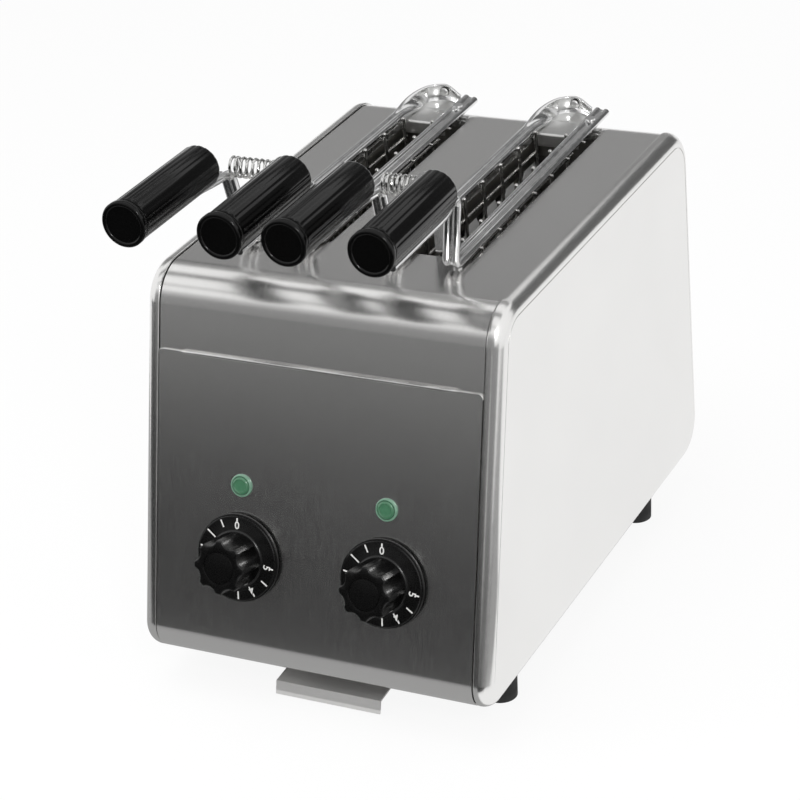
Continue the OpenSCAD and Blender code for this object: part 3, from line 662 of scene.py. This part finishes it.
def scallop(angle, count, radius, cut_r, centre_r):
    """Radius of a round bar with count round flutes cut into it."""
    step = 2 * math.pi / count
    delta = (angle + step / 2) % step - step / 2
    across = centre_r * math.sin(delta)
    if abs(across) >= cut_r:
        return radius
    return min(radius, centre_r * math.cos(delta) - math.sqrt(cut_r ** 2 - across ** 2))


def pocket_angles(count, radius, cut_r, centre_r):
    """Angles round a scalloped bar, with one at each edge of each pocket."""
    edge = math.acos((centre_r ** 2 + radius ** 2 - cut_r ** 2) / (2 * centre_r * radius))
    step = 2 * math.pi / count
    pocket_steps = 16
    land_steps = 6
    angles = []
    for k in range(count):
        for i in range(pocket_steps):
            angles.append(k * step - edge + 2 * edge * i / pocket_steps)
        for i in range(land_steps):
            angles.append(k * step + edge + (step - 2 * edge) * i / land_steps)
    return angles


def knob_grip():
    """The knob's scalloped grip; the pockets end at a ledge just above the skirt."""
    cut_r = KNOB_R * 0.42
    centre_r = KNOB_R + cut_r * 0.62
    base = SKIRT_GAP + SKIRT_T
    face = base + KNOB_H
    ledge = base + 2.2
    angles = pocket_angles(KNOB_LOBES, KNOB_R, cut_r, centre_r)
    turn = math.pi / KNOB_LOBES
    # Each level gives the height, how much is drawn in, and whether the pockets are cut there.
    levels = [
        (base - 0.5, 0.0, 0), (ledge, 0.0, 0), (ledge, 0.0, 1),
        (face - 1.0, 0.0, 1), (face - 0.5, 0.1, 1), (face - 0.15, 0.4, 1), (face, 0.9, 1),
    ]
    rings = []
    for height, drawn, pocketed in levels:
        ring = []
        for a in angles:
            r = scallop(a, KNOB_LOBES, KNOB_R, cut_r, centre_r) if pocketed else KNOB_R
            r -= drawn
            ring.append((r * math.cos(a - turn), r * math.sin(a - turn), height))
        rings.append(ring)
    # The dished face has a groove round its middle; each ring gives a share of the radius and a height.
    dish = 0.3
    for share, height in ((0.62, 0.0), (0.6, -0.5), (0.57, -0.5), (0.55, 0.0), (0.3, 0.25), (0.02, 0.3)):
        r = KNOB_R * share
        z = face - dish + height
        rings.append([(r * math.cos(a - turn), r * math.sin(a - turn), z) for a in angles])
    return loft(rings, cap_end=True)


def knob_skirt():
    """The skirt under the grip, with a stepped rim."""
    back = SKIRT_GAP
    top = SKIRT_GAP + SKIRT_T
    return lathe([
        (10.0, back), (SKIRT_R - 0.5, back), (SKIRT_R, back + 0.4), (SKIRT_R, back + 1.6),
        (SKIRT_R - 0.3, back + 1.95), (SKIRT_R - 0.9, back + 2.0), (SKIRT_R - 1.0, back + 2.2),
        (SKIRT_R - 1.0, top - 0.4), (SKIRT_R - 1.3, top - 0.05), (SKIRT_R - 1.8, top),
        (KNOB_R + 1.2, top), (KNOB_R + 0.4, top + 0.3), (KNOB_R - 0.2, top + 1.0),
    ], steps=96)


def digit(character, height, lift):
    """A printed figure as a thin mesh about its own middle."""
    size_to_height = 1.42
    curve = bpy.data.curves.new("figure", "FONT")
    curve.body = character
    curve.size = height * size_to_height
    curve.align_x = "CENTER"
    curve.align_y = "CENTER"
    curve.extrude = lift
    curve.offset = 0.1
    holder = new_object("figure", curve)
    graph = bpy.context.evaluated_depsgraph_get()
    mesh = bpy.data.meshes.new_from_object(holder.evaluated_get(graph))
    verts = [tuple(v.co) for v in mesh.vertices]
    faces = [tuple(p.vertices) for p in mesh.polygons]
    bpy.data.objects.remove(holder)
    bpy.data.curves.remove(curve)
    bpy.data.meshes.remove(mesh)
    return verts, faces


def dial_marks():
    """Half-minute ticks and the figures 0 to 5, counted anticlockwise from the top."""
    lift = 0.03
    tick_half = 0.42
    tick_end = SKIRT_R - 1.9
    short_tick = SKIRT_R - 3.7
    long_tick = SKIRT_R - 6.2
    figure_r = SKIRT_R - 6.1
    figure_h = 4.1
    top = SKIRT_GAP + SKIRT_T
    parts = []
    for half in range(11):
        turn = Matrix.Rotation(math.radians(half * MINUTE_DEG / 2), 4, "Z")
        whole = half % 2 == 0
        inner = short_tick if whole else long_tick
        tick = box((-tick_half, inner, top - lift), (tick_half, tick_end, top + lift))
        parts.append(moved(tick, turn))
        if whole:
            place = Matrix.Translation((0, figure_r, top))
            parts.append(moved(digit(str(half // 2), figure_h, lift), turn @ place))
    return parts


def lamp_lens():
    """A flat-faced lens with a stepped rim."""
    return lathe([
        (LENS_R, -1.0), (LENS_R, 1.3), (LENS_R - 0.2, 1.7), (LENS_R - 0.8, 2.1), (LENS_R - 1.3, 2.2),
        (LENS_R - 1.6, 1.9), (LENS_R - 2.2, 1.8), (TIP_R, 2.0),
    ], steps=48)


def lamp_collar():
    """The rounded ring that holds a lens on the panel."""
    outer = LENS_R + BEZEL_W
    return lathe([
        (outer, 0.0), (outer, 0.7), (outer - 0.2, 1.2), (outer - 0.6, 1.5), (LENS_R + 0.35, 1.4),
        (LENS_R + 0.1, 1.0), (LENS_R + 0.1, 0.0),
    ], steps=48)


def strip_section(width, bead):
    """Section of the tong strip as (across, thick) points: a web between two rolled edges."""
    centre = width / 2 - bead
    wrap = 145
    steps = 14
    points = []
    for sign in (1, -1):
        for i in range(steps + 1):
            a = math.radians(-wrap + 2 * wrap * i / steps)
            points.append((sign * (centre + bead * math.cos(a)), sign * bead * math.sin(a)))
    return points


def strip(path):
    """Sweeps the strip along (point, across direction, width, bead radius)."""
    points = [p for p, _, _, _ in path]
    rings = []
    for (p, across, width, bead), t in zip(path, tangents(points)):
        across = (across - t * across.dot(t)).normalized()
        thick = t.cross(across)
        rings.append([p + across * w + thick * h for w, h in strip_section(width, bead)])
    return solid(rings)


def arm_path(start):
    """The strip along the rail, up the post and out along the tang, in the arm's own frame."""
    flat = Vector((1, 0, 0))
    rail_end = -POST_REACH + BEND_R
    tang_start = -POST_REACH - BEND_R
    tang_end = -(GRIP_BACK + GRIP_LEN - 2 * CAP_LEN)
    rail_steps = 6
    path = []
    for i in range(rail_steps + 1):
        path.append((Vector((0, start + (rail_end - start) * i / rail_steps, STRIP_MID)), flat))
    for a in quarter(8)[1:]:
        y = rail_end - BEND_R * math.sin(a)
        z = STRIP_MID + BEND_R * (1 - math.cos(a))
        path.append((Vector((0, y, z)), flat))
    for a in quarter(8):
        y = -POST_REACH - BEND_R * (1 - math.cos(a))
        z = TANG_Z - BEND_R * (1 - math.sin(a))
        path.append((Vector((0, y, z)), flat))
    # The tang rolls round the grip's axis, so that it lies at the grip's outer lower side.
    below = GRIP_Z - TANG_Z
    roll_run = GRIP_BACK + tang_start + 8
    tang_steps = 14
    for i in range(1, tang_steps + 1):
        y = tang_start + (tang_end - tang_start) * i / tang_steps
        a = TANG_ROLL * ease((tang_start - y) / roll_run)
        point = Vector((below * math.sin(a), y, GRIP_Z - below * math.cos(a)))
        path.append((point, Vector((math.cos(a), 0, math.sin(a)))))
    return [(p, across, STRIP_W, RAIL_BEAD_R) for p, across in path]


def lean_matrix(name):
    """Leans an arm outwards about its rail."""
    up = Matrix.Translation((0, 0, STRIP_MID))
    return up @ Matrix.Rotation(TONG_LEAN[name], 4, "Y") @ up.inverted()


def tong_matrix(name):
    """The tongs' own frame, at the hinge end of a slot."""
    place = Matrix.Translation((SIDE[name] * SLOT_X + TONG_SHIFT, HINGE_Y, TONG_Z))
    return place @ Matrix.Rotation(TURN[name], 4, "Z")


def swing_matrix(name):
    """The moving arm's frame, inside the tongs' own frame."""
    return Matrix.Translation((ARM_X, 0, 0)) @ Matrix.Rotation(OPEN[name], 4, "Z")


def still_matrix(name):
    """The fixed arm's frame, the mirror image of the moving one."""
    return Matrix.Scale(-1, 4, (1, 0, 0)) @ swing_matrix(name)


def peg():
    """A peg under the rail that rests on the cover."""
    edge = 0.4
    profile = [(0.05, REST_Z), (PEG_R - edge, REST_Z), (PEG_R, REST_Z + edge), (PEG_R, STRIP_MID)]
    return moved(lathe(profile, steps=32), Matrix.Translation((0, PEG_Y, 0)))


def turned(path, matrix):
    """A strip path carried into another frame."""
    rotation = matrix.to_3x3()
    carried = []
    for p, across, width, bead in path:
        carried.append((matrix @ p, (rotation @ across).normalized(), width, bead))
    return carried


def bow_point(span, u):
    """A point of the bow's middle line, at share u of a span."""
    return hermite(*[Vector(v) for knot in BOW_KNOTS[span:span + 2] for v in knot], u)


def bow_path(name):
    """The upright band round the hinge end, which twists flat into the fixed arm's rail."""
    rail = turned(arm_path(-TWIST_LEN), still_matrix(name) @ lean_matrix(name))
    up = Vector((0, 0, 1))
    end_share = 0.62
    shoulder_pull = 2.2
    steps = 12
    path = []
    for span in range(2):
        for i in range(steps):
            u = i / steps
            high = BOW_H * (end_share + (1 - end_share) * ease(u)) if span == 0 else BOW_H
            x, y = bow_point(span, u)
            path.append((Vector((x, y, REST_Z + high / 2)), up, high, BOW_BEAD_R))
    shoulder, shoulder_t = BOW_KNOTS[2]
    start = Vector((*shoulder, REST_Z + BOW_H / 2))
    start_t = Vector((*shoulder_t, 0)) * shoulder_pull
    end, flat, width, bead = rail[0]
    end_t = (rail[1][0] - end).normalized() * TWIST_LEN
    twist_steps = 24
    for i in range(twist_steps):
        u = i / twist_steps
        share = ease(u)
        across = (up * math.cos(share * math.pi / 2) + flat * math.sin(share * math.pi / 2)).normalized()
        high = BOW_H + (width - BOW_H) * share
        edge = BOW_BEAD_R + (bead - BOW_BEAD_R) * share
        path.append((hermite(start, start_t, end, end_t, u), across, high, edge))
    return path + rail


def guard_plate():
    """The upright plate at the slot's front end, with clipped corners."""
    x1 = -(STRIP_W / 2 - BEAD_R)
    x0 = x1 - GUARD_W
    clip = 3.0
    corners = [
        (x0 + clip, -GUARD_DOWN), (x1, -GUARD_DOWN), (x1, GUARD_UP - clip), (x1 - clip, GUARD_UP),
        (x0 + clip, GUARD_UP), (x0, GUARD_UP - clip), (x0, -GUARD_DOWN + clip),
    ]
    return solid([[(x, y, z) for x, z in corners] for y in (GUARD_Y, GUARD_Y + SHEET_T)])


def grip():
    """A fluted grip with a raised cap and a dished end, in the arm's own frame before it leans."""
    turns = circle(GRIP_FLUTES * 10)
    front = -(GRIP_BACK + GRIP_LEN)
    centre_r = GRIP_R + FLUTE_R * 0.55
    seat = GRIP_R - SEAT_D
    seat_from = 2 * CAP_LEN
    dish = 1.0
    # Each station gives the distance from the front, what is added to the radius, and the flutes' share.
    stations = [
        (0.8, -2.2, 0.0), (0.3, -1.9, 0.0), (0.0, -1.3, 0.0), (0.0, -0.6, 0.0),
        (0.2, -0.1, 0.0), (0.5, 0.25, 0.0), (0.9, 0.48, 0.0),
        (CAP_LEN - 1.6, 0.48, 0.0), (CAP_LEN - 1.1, 0.2, 0.0), (CAP_LEN - 0.9, -0.5, 0.0),
        (CAP_LEN - 0.2, -0.55, 0.0), (CAP_LEN, -0.1, 0.0),
        (CAP_LEN + 0.6, 0.0, 0.3), (CAP_LEN + 1.6, 0.0, 1.0),
        (seat_from, 0.0, 1.0), (seat_from + 0.05, 0.0, 1.0), (GRIP_LEN / 2, 0.0, 1.0),
        (GRIP_LEN - 2.4, 0.0, 1.0), (GRIP_LEN - 1.2, -0.25, 0.9), (GRIP_LEN - 0.4, -0.8, 0.5),
        (GRIP_LEN, -1.8, 0.0), (GRIP_LEN, -6.0, 0.0),
    ]
    rings = [[(TIP_R * math.cos(a), front + dish, TIP_R * math.sin(a)) for a in turns]]
    down = Vector((math.sin(TANG_ROLL), 0, -math.cos(TANG_ROLL)))
    for d, added, share in stations:
        ring = []
        for a in turns:
            cut = scallop(a, GRIP_FLUTES, GRIP_R, FLUTE_R, centre_r) - GRIP_R
            r = GRIP_R + added + cut * share * FLUTE_SHARE
            point = Vector((r * math.cos(a), front + d, r * math.sin(a)))
            if d > seat_from:
                point -= down * max(0.0, point.dot(down) - seat)
            ring.append(point)
        rings.append(ring)
    return moved(solid(rings), Matrix.Translation((0, 0, GRIP_Z)))


def spring_half(name):
    """Half the distance between the posts at the spring, with its leads sunk into them."""
    sunk = 0.3
    lean = (TANG_Z - STRIP_MID) * math.sin(TONG_LEAN[name])
    return ARM_X + SPRING_REACH * math.sin(OPEN[name]) - STRIP_W / 2 + lean - sunk


def spring_coil(name):
    """Close-wound ends, an open coil between them, and short leads to the posts."""
    half = spring_half(name)
    lead = 2 * SPRING_WIRE_R
    close = 2.4 * SPRING_WIRE_R
    per_turn = 28
    coil = half - lead
    open_pitch = 2 * (coil - close) / (SPRING_TURNS - 2)
    points = [(-half, 0, -SPRING_R)]
    for i in range(SPRING_TURNS * per_turn + 1):
        turn = i / per_turn
        a = 2 * math.pi * turn - math.pi / 2
        x = -coil + close * min(turn, 1.0)
        x += open_pitch * min(max(turn - 1.0, 0.0), SPRING_TURNS - 2)
        x += close * max(turn - SPRING_TURNS + 1, 0.0)
        points.append((x, SPRING_R * math.cos(a), SPRING_R * math.sin(a)))
    points.append((half, 0, -SPRING_R))
    return moved(tube(points, SPRING_WIRE_R, sides=10), Matrix.Translation((0, -SPRING_REACH, SPRING_Z)))


def wire_tip(x, y, z, radius):
    """A rounded upper end of an upright wire."""
    sunk = 0.4
    profile = [(radius, -sunk)]
    for a in quarter(5):
        profile.append((max(TIP_R, radius * math.cos(a)), radius * math.sin(a)))
    return moved(lathe(profile, steps=16), Matrix.Translation((x, y, z)))


def cage():
    """Hooked upright wires welded to long wires, with stubs under the rail, in the arm's own frame."""
    last = WIRE_FIRST + (WIRE_COUNT - 1) * WIRE_PITCH
    top = STRIP_MID + 1.0
    bend = 2.2
    stub_end = STRIP_W / 2 + 0.9
    long_r = WIRE_R * 0.9
    long_x = WIRE_X + WIRE_R
    long_y = (-WIRE_FIRST + 4, -(WIRE_FIRST + last) / 2, -last - 2)
    parts = []
    for i in range(WIRE_COUNT):
        y = -(WIRE_FIRST + i * WIRE_PITCH)
        points = [(WIRE_X - HOOK_LEN, y, -CAGE_DEPTH)]
        for a in quarter(6):
            points.append((WIRE_X - bend * (1 - math.sin(a)), y, -CAGE_DEPTH + bend * (1 - math.cos(a))))
        points += [(WIRE_X, y, -CAGE_DEPTH / 2), (WIRE_X, y, top)]
        parts.append(tube(points, WIRE_R, sides=14))
        parts.append(wire_tip(WIRE_X, y, top, WIRE_R))
        stub = [(x, y, STUB_Z) for x in (WIRE_X, 0, stub_end)]
        parts.append(tube(stub, STUB_R, sides=12))
    for depth in LONG_WIRES:
        parts.append(tube([(long_x, y, -depth) for y in long_y], long_r, sides=12))
    return parts


def stop_plate():
    """A satin plate inside the bow: joggled at the hinge, turned down into the slot, riveted behind."""
    t = SHEET_T
    low = REST_Z
    front = -16.0
    joggle = 3.5
    half_front = 13.4
    bend = 1.6
    # Section along Y as (y, z) of the upper face, from the upstand to the lower edge in the slot.
    section = [(joggle + 1.0, low + t + 0.5), (joggle, low + t + 0.1), (joggle - 0.6, low + t)]
    for a in quarter(6):
        section.append((front + bend * (1 - math.sin(a)), low + t - bend * (1 - math.cos(a))))
    section.append((front, -STOP_DROP))
    inner = []
    for k, (y, z) in enumerate(section):
        before = section[max(k - 1, 0)]
        after = section[min(k + 1, len(section) - 1)]
        along = Vector((after[0] - before[0], after[1] - before[1])).normalized()
        inner.append((y - along.y * t, z + along.x * t))
    edge = section + inner[::-1]
    parts = [solid(along_x(edge, (-half_front, half_front)))]
    # The raised floor behind the joggle follows the inside of the bow.
    inside = 0.9
    floor_y = joggle + 0.8
    floor_z = low + 0.5
    steps = 8
    border = [(12.0, floor_y)]
    for span in range(2):
        for i in range(steps + 1):
            p = bow_point(span, i / steps)
            border.append(tuple(p - p.normalized() * inside))
    border.append((-13.0, floor_y))
    parts.append(solid([[(x, y, z) for x, y in border] for z in (floor_z, low + t + 0.5)]))
    # Ears at both sides rest on the cover beside the slot.
    ear_in = 12.0
    ear_out = BOW_R + 4.0
    ear_front = -5.0
    ear_back = -1.0
    for sign in (-1, 1):
        xs = sorted((sign * ear_in, sign * ear_out))
        parts.append(box((xs[0], ear_front, low), (xs[1], ear_back, low + t)))
    parts.append(rivet())
    return parts


def rivet():
    """A domed rivet on the inner face of the bow."""
    head = 2.7
    shank = 0.9
    rim = 0.3
    dome = 1.1
    spot = (-1.5, 17.9, 4.6)
    profile = [(shank, -1.5), (shank, 0.0), (head, 0.0), (head, rim)]
    for a in quarter(6):
        profile.append((max(TIP_R, head * math.cos(a)), rim + dome * math.sin(a)))
    place = Matrix.Translation(spot) @ Matrix.Rotation(math.pi / 2, 4, "X")
    return moved(lathe(profile, steps=28), place)


def pierced_plate(x0, x1, y0, y1, z0, z1):
    """A sheet in the Y-Z plane with two rows of large rounded holes."""
    pitch = 26.0
    hole_r = 6.0
    hole_half = 2.5
    first = 14.0
    margin = 12.0
    loops = [[(y0, z0), (y1, z0), (y1, z1), (y0, z1)]]
    for z, shift in ((z1 - 12.0, 0.0), (z1 - 30.0, pitch / 2)):
        y = y0 + first + shift
        while y < y1 - margin:
            ring = []
            for a in circle(28):
                middle = y + math.copysign(hole_half, math.cos(a))
                ring.append((middle + hole_r * math.cos(a), z + hole_r * math.sin(a)))
            loops.append(ring)
            y += pitch
    walls = [along_x(loop, (x0, x1)) for loop in loops]
    parts = [filled([wall[face] for wall in walls]) for face in (0, 1)]
    return parts + [loft(wall) for wall in walls]


def crumb_baffle():
    """A bent strip under the base plate that closes the gap behind the tray."""
    front = BACK_Y - 38.5
    back = BACK_Y - 24.5
    top = BODY_Z + 3.1
    lip = BODY_Z - 0.3
    low = top - SHEET_T
    inner = front + SHEET_T
    bend = 0.4
    half_w = 56.0
    section = [(front, lip), (front, top - bend), (front + bend, top), (back, top)]
    section += [(back, low), (inner + bend, low), (inner, low - bend), (inner, lip)]
    return [solid(along_x(section, (-half_w, half_w)))]


def build_housing():
    """The sheets of the body, the guards in the slots and the strip behind the tray."""
    make("cheek_left", cheek(-1), CHEEK, "housing", ["left_cheek"], weighted=True)
    make("cheek_right", cheek(1), CHEEK, "housing", ["right_cheek"], weighted=True)
    make("front_panel", control_panel(), FRONT, "housing", ["control_panel"], weighted=True)
    make("front_panel_bead", panel_bead(), FRONT, "housing")
    make("cover", top_cover(), COVER, "housing", ["top_cover"], weighted=True)
    plates = []
    end_gap = 3
    guard_t = 0.7
    guard_gap = 0.2
    guard_h = 50
    y0 = TOE_Y + SLOT_FRONT + end_gap
    y1 = y0 + SLOT_LEN - 2 * end_gap
    for side in (-1, 1):
        x = side * SLOT_X - SLOT_W / 2 - guard_gap
        plates += pierced_plate(x - guard_t, x, y0, y1, COVER_TOP - guard_h, COVER_TOP - SLOT_LIP)
    make("slot_guards", plates, GUARD, "housing")
    make("crumb_baffle", crumb_baffle(), GUARD, "housing")


def build_controls():
    """The two timer knobs with their print, and the two lamps."""
    for name, side in SIDE.items():
        dial = front_matrix(side * CONTROL_X, DIAL_H)
        body = name + "_timer"
        knob = [moved(knob_grip(), dial), moved(knob_skirt(), dial)]
        make(name + "_dial_knob", knob, KNOB, body, [name + "_knob"], sharp=40)
        marks = [moved(part, dial) for part in dial_marks()]
        make(name + "_dial_print", marks, INK, body)
    places = [front_matrix(side * CONTROL_X, LAMP_H) for side in (-1, 1)]
    lenses = [moved(lamp_lens(), place) for place in places]
    bezels = [moved(lamp_collar(), place) for place in places]
    make("lenses", lenses, LENS, "housing", ["lamp_lenses"])
    # The bezels carry the lighter green of the painted highlight on the lens rim.
    make("bezels", bezels, COLLAR_PAINTED_HIGHLIGHT, "housing", ["lamp_bezels"])


def build_tongs():
    """Both tongs; each bow rides on its tong and each moving arm on its hinge."""
    for name in SIDE:
        tong = name + "_tong"
        place = tong_matrix(name)
        swing = place @ swing_matrix(name)
        still = place @ still_matrix(name)
        lean = lean_matrix(name)
        bow = [moved(strip(bow_path(name)), place), moved(peg(), still)]
        make(name + "_bow", bow, CHROME, tong, [tong + "_bow"], sharp=50)
        arm = [moved(strip(arm_path(TAIL_LEN)), swing @ lean)]
        arm += [moved(peg(), swing), moved(guard_plate(), swing)]
        make(name + "_arm_strip", arm, CHROME, name + "_arm", [tong + "_arm"], sharp=50)
        plate = [moved(part, place) for part in stop_plate()]
        make(name + "_stop", plate, SATIN, tong, [name + "_stop_plate"])
        halves = ((name + "_bow", still, tong), (name + "_arm", swing, name + "_arm"))
        for half_name, matrix, body in halves:
            node = half_name + "_cage"
            wires = [moved(part, matrix) for part in cage()]
            make(node + "_wires", wires, WIRE, body, [node])
        for half_name, matrix, body in halves:
            node = half_name + "_grip"
            make(node + "_fluted", [moved(grip(), matrix @ lean)], GRIP, body, [node])
        spring = [moved(spring_coil(name), place)]
        coil = make(name + "_coil", spring, SPRING, tong, [name + "_spring"])
        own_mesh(coil)


def stage_sheet(name, size):
    """A flat rectangle about its own middle."""
    w = size[0] / 2
    h = size[1] / 2
    mesh = bpy.data.meshes.new(name)
    mesh.from_pydata([(-w, -h, 0), (w, -h, 0), (w, h, 0), (-w, h, 0)], [], [(0, 1, 2, 3)])
    return new_object(name, mesh)


def bare_tree(owner):
    """The emptied node tree of a material or world."""
    owner.use_nodes = True
    owner.node_tree.nodes.clear()
    return owner.node_tree


def mix_to_output(tree, kind, factor, first, second):
    """Mixes two shaders by a factor into an output node."""
    output = add_node(tree, kind)
    mix = add_node(tree, "ShaderNodeMixShader")
    tree.links.new(factor, mix.inputs["Fac"])
    tree.links.new(first.outputs[0], mix.inputs[1])
    tree.links.new(second.outputs[0], mix.inputs[2])
    tree.links.new(mix.outputs["Shader"], output.inputs["Surface"])


def build_stage():
    """A white floor that keeps the shadow, and a white world for camera, glossy and transmitted rays."""
    white = (1, 1, 1, 1)
    floor_colour = (0.9, 0.9, 0.9, 1)
    glow_share = 0.9
    fill_light = 0.55
    floor = stage_sheet("floor", (12.0, 12.0))
    material = bpy.data.materials.new("floor_white")
    tree = bare_tree(material)
    diffuse = add_node(tree, "ShaderNodeBsdfDiffuse", Color=floor_colour)
    glow = add_node(tree, "ShaderNodeEmission", Color=white)
    share = add_node(tree, "ShaderNodeMath")
    share.operation = "MULTIPLY"
    share.inputs[1].default_value = glow_share
    tree.links.new(seen_rays(tree), share.inputs[0])
    mix_to_output(tree, "ShaderNodeOutputMaterial", share.outputs["Value"], diffuse, glow)
    floor.data.materials.append(material)

    world = bpy.data.worlds.new("studio")
    bpy.context.scene.world = world
    tree = bare_tree(world)
    seen = add_node(tree, "ShaderNodeBackground", Color=white)
    fill = add_node(tree, "ShaderNodeBackground", Color=white, Strength=fill_light)
    mix_to_output(tree, "ShaderNodeOutputWorld", seen_rays(tree), fill, seen)


def card(name, place, towards, size, shade):
    """A grey studio card that only reflections see."""
    obj = stage_sheet(name, size)
    obj.location = place
    obj.rotation_mode = "QUATERNION"
    obj.rotation_quaternion = (Vector(towards) - Vector(place)).to_track_quat("Z", "Y")
    material = bpy.data.materials.new(name)
    tree = bare_tree(material)
    output = add_node(tree, "ShaderNodeOutputMaterial")
    glow = add_node(tree, "ShaderNodeEmission", Color=(shade, shade, shade, 1))
    tree.links.new(glow.outputs["Emission"], output.inputs["Surface"])
    obj.data.materials.append(material)
    obj.visible_camera = False
    obj.visible_diffuse = False
    obj.visible_transmission = False
    obj.visible_shadow = False


def build_cards():
    """Dark in front of the control panel, grey behind the cover, so that the steel shows soft bands.

    Each card has a place, a point that it faces, a size, all in metres, and a shade.
    """
    card("card_front", (-0.66, -1.45, -0.105), (0, -0.14, 0.13), (2.4, 0.6), 0.032)
    card("card_front_floor", (-0.8, -0.96, 0.002), (-0.8, -0.96, 1.0), (3.2, 1.5), 0.03)
    card("card_toe_floor", (-0.25, -0.09, 0.004), (-0.25, -0.09, 1.0), (0.7, 0.42), 0.38)
    card("card_front_mid", (-0.62, -1.45, 0.565), (-0.62, 0, 0.565), (2.8, 0.73), 0.28)
    card("card_front_high", (-0.62, -1.45, 1.095), (-0.62, 0, 1.095), (2.8, 0.33), 0.5)
    card("card_over_line", (-0.55, -0.87, 1.35), (-0.55, -0.87, 0.2), (2.4, 0.14), 0.4)
    card("card_over_front", (-0.55, -0.12, 1.35), (-0.55, -0.12, 0.2), (2.4, 0.24), 0.22)
    card("card_over_back", (-0.55, 0.9, 1.35), (-0.55, 0.9, 0.2), (2.4, 0.6), 0.3)
    card("card_back_low", (-0.62, 1.37, 0.66), (0, 0, 0.23), (2.4, 0.72), 0.31)
    card("card_back_high", (-0.62, 1.3, 1.15), (0, 0, 0.23), (2.4, 0.26), 0.12)
    card("card_right_front", (0.75, -1.0, 0.12), (0.1, -0.13, 0.15), (0.9, 0.5), 0.25)
    card("card_right_floor", (0.7, -0.25, 0.002), (0.7, -0.25, 1.0), (1.0, 0.5), 0.35)
    card("card_right_back", (0.8, 1.3, 0.6), (0.1, 0, 0.23), (1.2, 1.1), 0.12)


def seen_rays(tree):
    """1 for camera, glossy and transmission rays."""
    path = add_node(tree, "ShaderNodeLightPath")
    total = path.outputs["Is Camera Ray"]
    for ray in ("Is Glossy Ray", "Is Transmission Ray"):
        node = add_node(tree, "ShaderNodeMath")
        node.operation = "MAXIMUM"
        tree.links.new(total, node.inputs[0])
        tree.links.new(path.outputs[ray], node.inputs[1])
        total = node.outputs["Value"]
    return total


def lamp(name, place, target, size, power, mirrored=False):
    """A soft lamp; only a mirrored one shows in reflections."""
    data = bpy.data.lights.new(name, "AREA")
    data.shape = "RECTANGLE"
    data.size = size[0]
    data.size_y = size[1]
    data.energy = power
    obj = new_object(name, data)
    obj.location = place
    obj.rotation_mode = "QUATERNION"
    obj.rotation_quaternion = (Vector(target) - Vector(place)).to_track_quat("-Z", "Y")
    obj.visible_glossy = mirrored


def build_lights():
    """Soft lamps at a plain level; places and sizes are in metres."""
    lamp("overhead", (-0.3, -0.3, 1.7), (0, 0, 0.15), (1.2, 1.2), 14)
    lamp("right_soft", (1.5, -0.4, 0.9), (0, 0, 0.12), (1.0, 1.0), 5)
    lamp("key", (0.85, -1.08, 1.13), (0, -0.1, 0.2), (0.25, 0.25), 5, mirrored=True)
    lamp("left_soft", (-1.4, -1.0, 0.9), (0, 0, 0.12), (0.8, 1.0), 5)


def build_camera():
    """The photograph's camera: a long lens from the right front, tilted a little."""
    azimuth = math.radians(28.1)
    elevation = math.radians(27.3)
    roll = math.radians(-5.3)
    target = Vector((-8.3, -8.49, 121.9)) * MM
    distance = 1532.0 * MM
    level = math.cos(elevation)
    back = Vector((math.sin(azimuth) * level, -math.cos(azimuth) * level, math.sin(elevation)))
    right = (-back).cross(Vector((0, 0, 1))).normalized()
    up = right.cross(-back)
    rolled = Matrix((
        right * math.cos(roll) + up * math.sin(roll),
        up * math.cos(roll) - right * math.sin(roll),
        back,
    )).transposed()
    data = bpy.data.cameras.new("camera")
    data.sensor_width = 36.0
    data.lens = 121.75
    data.clip_start = 0.05
    data.clip_end = 50.0
    camera = new_object("camera", data)
    camera.matrix_world = Matrix.Translation(target + back * distance) @ rolled.to_4x4()
    bpy.context.scene.camera = camera


dress_nodes()
build_camera()
build_stage()
build_lights()
build_cards()
build_housing()
build_controls()
build_tongs()
bpy.context.scene.view_settings.view_transform = "Standard"
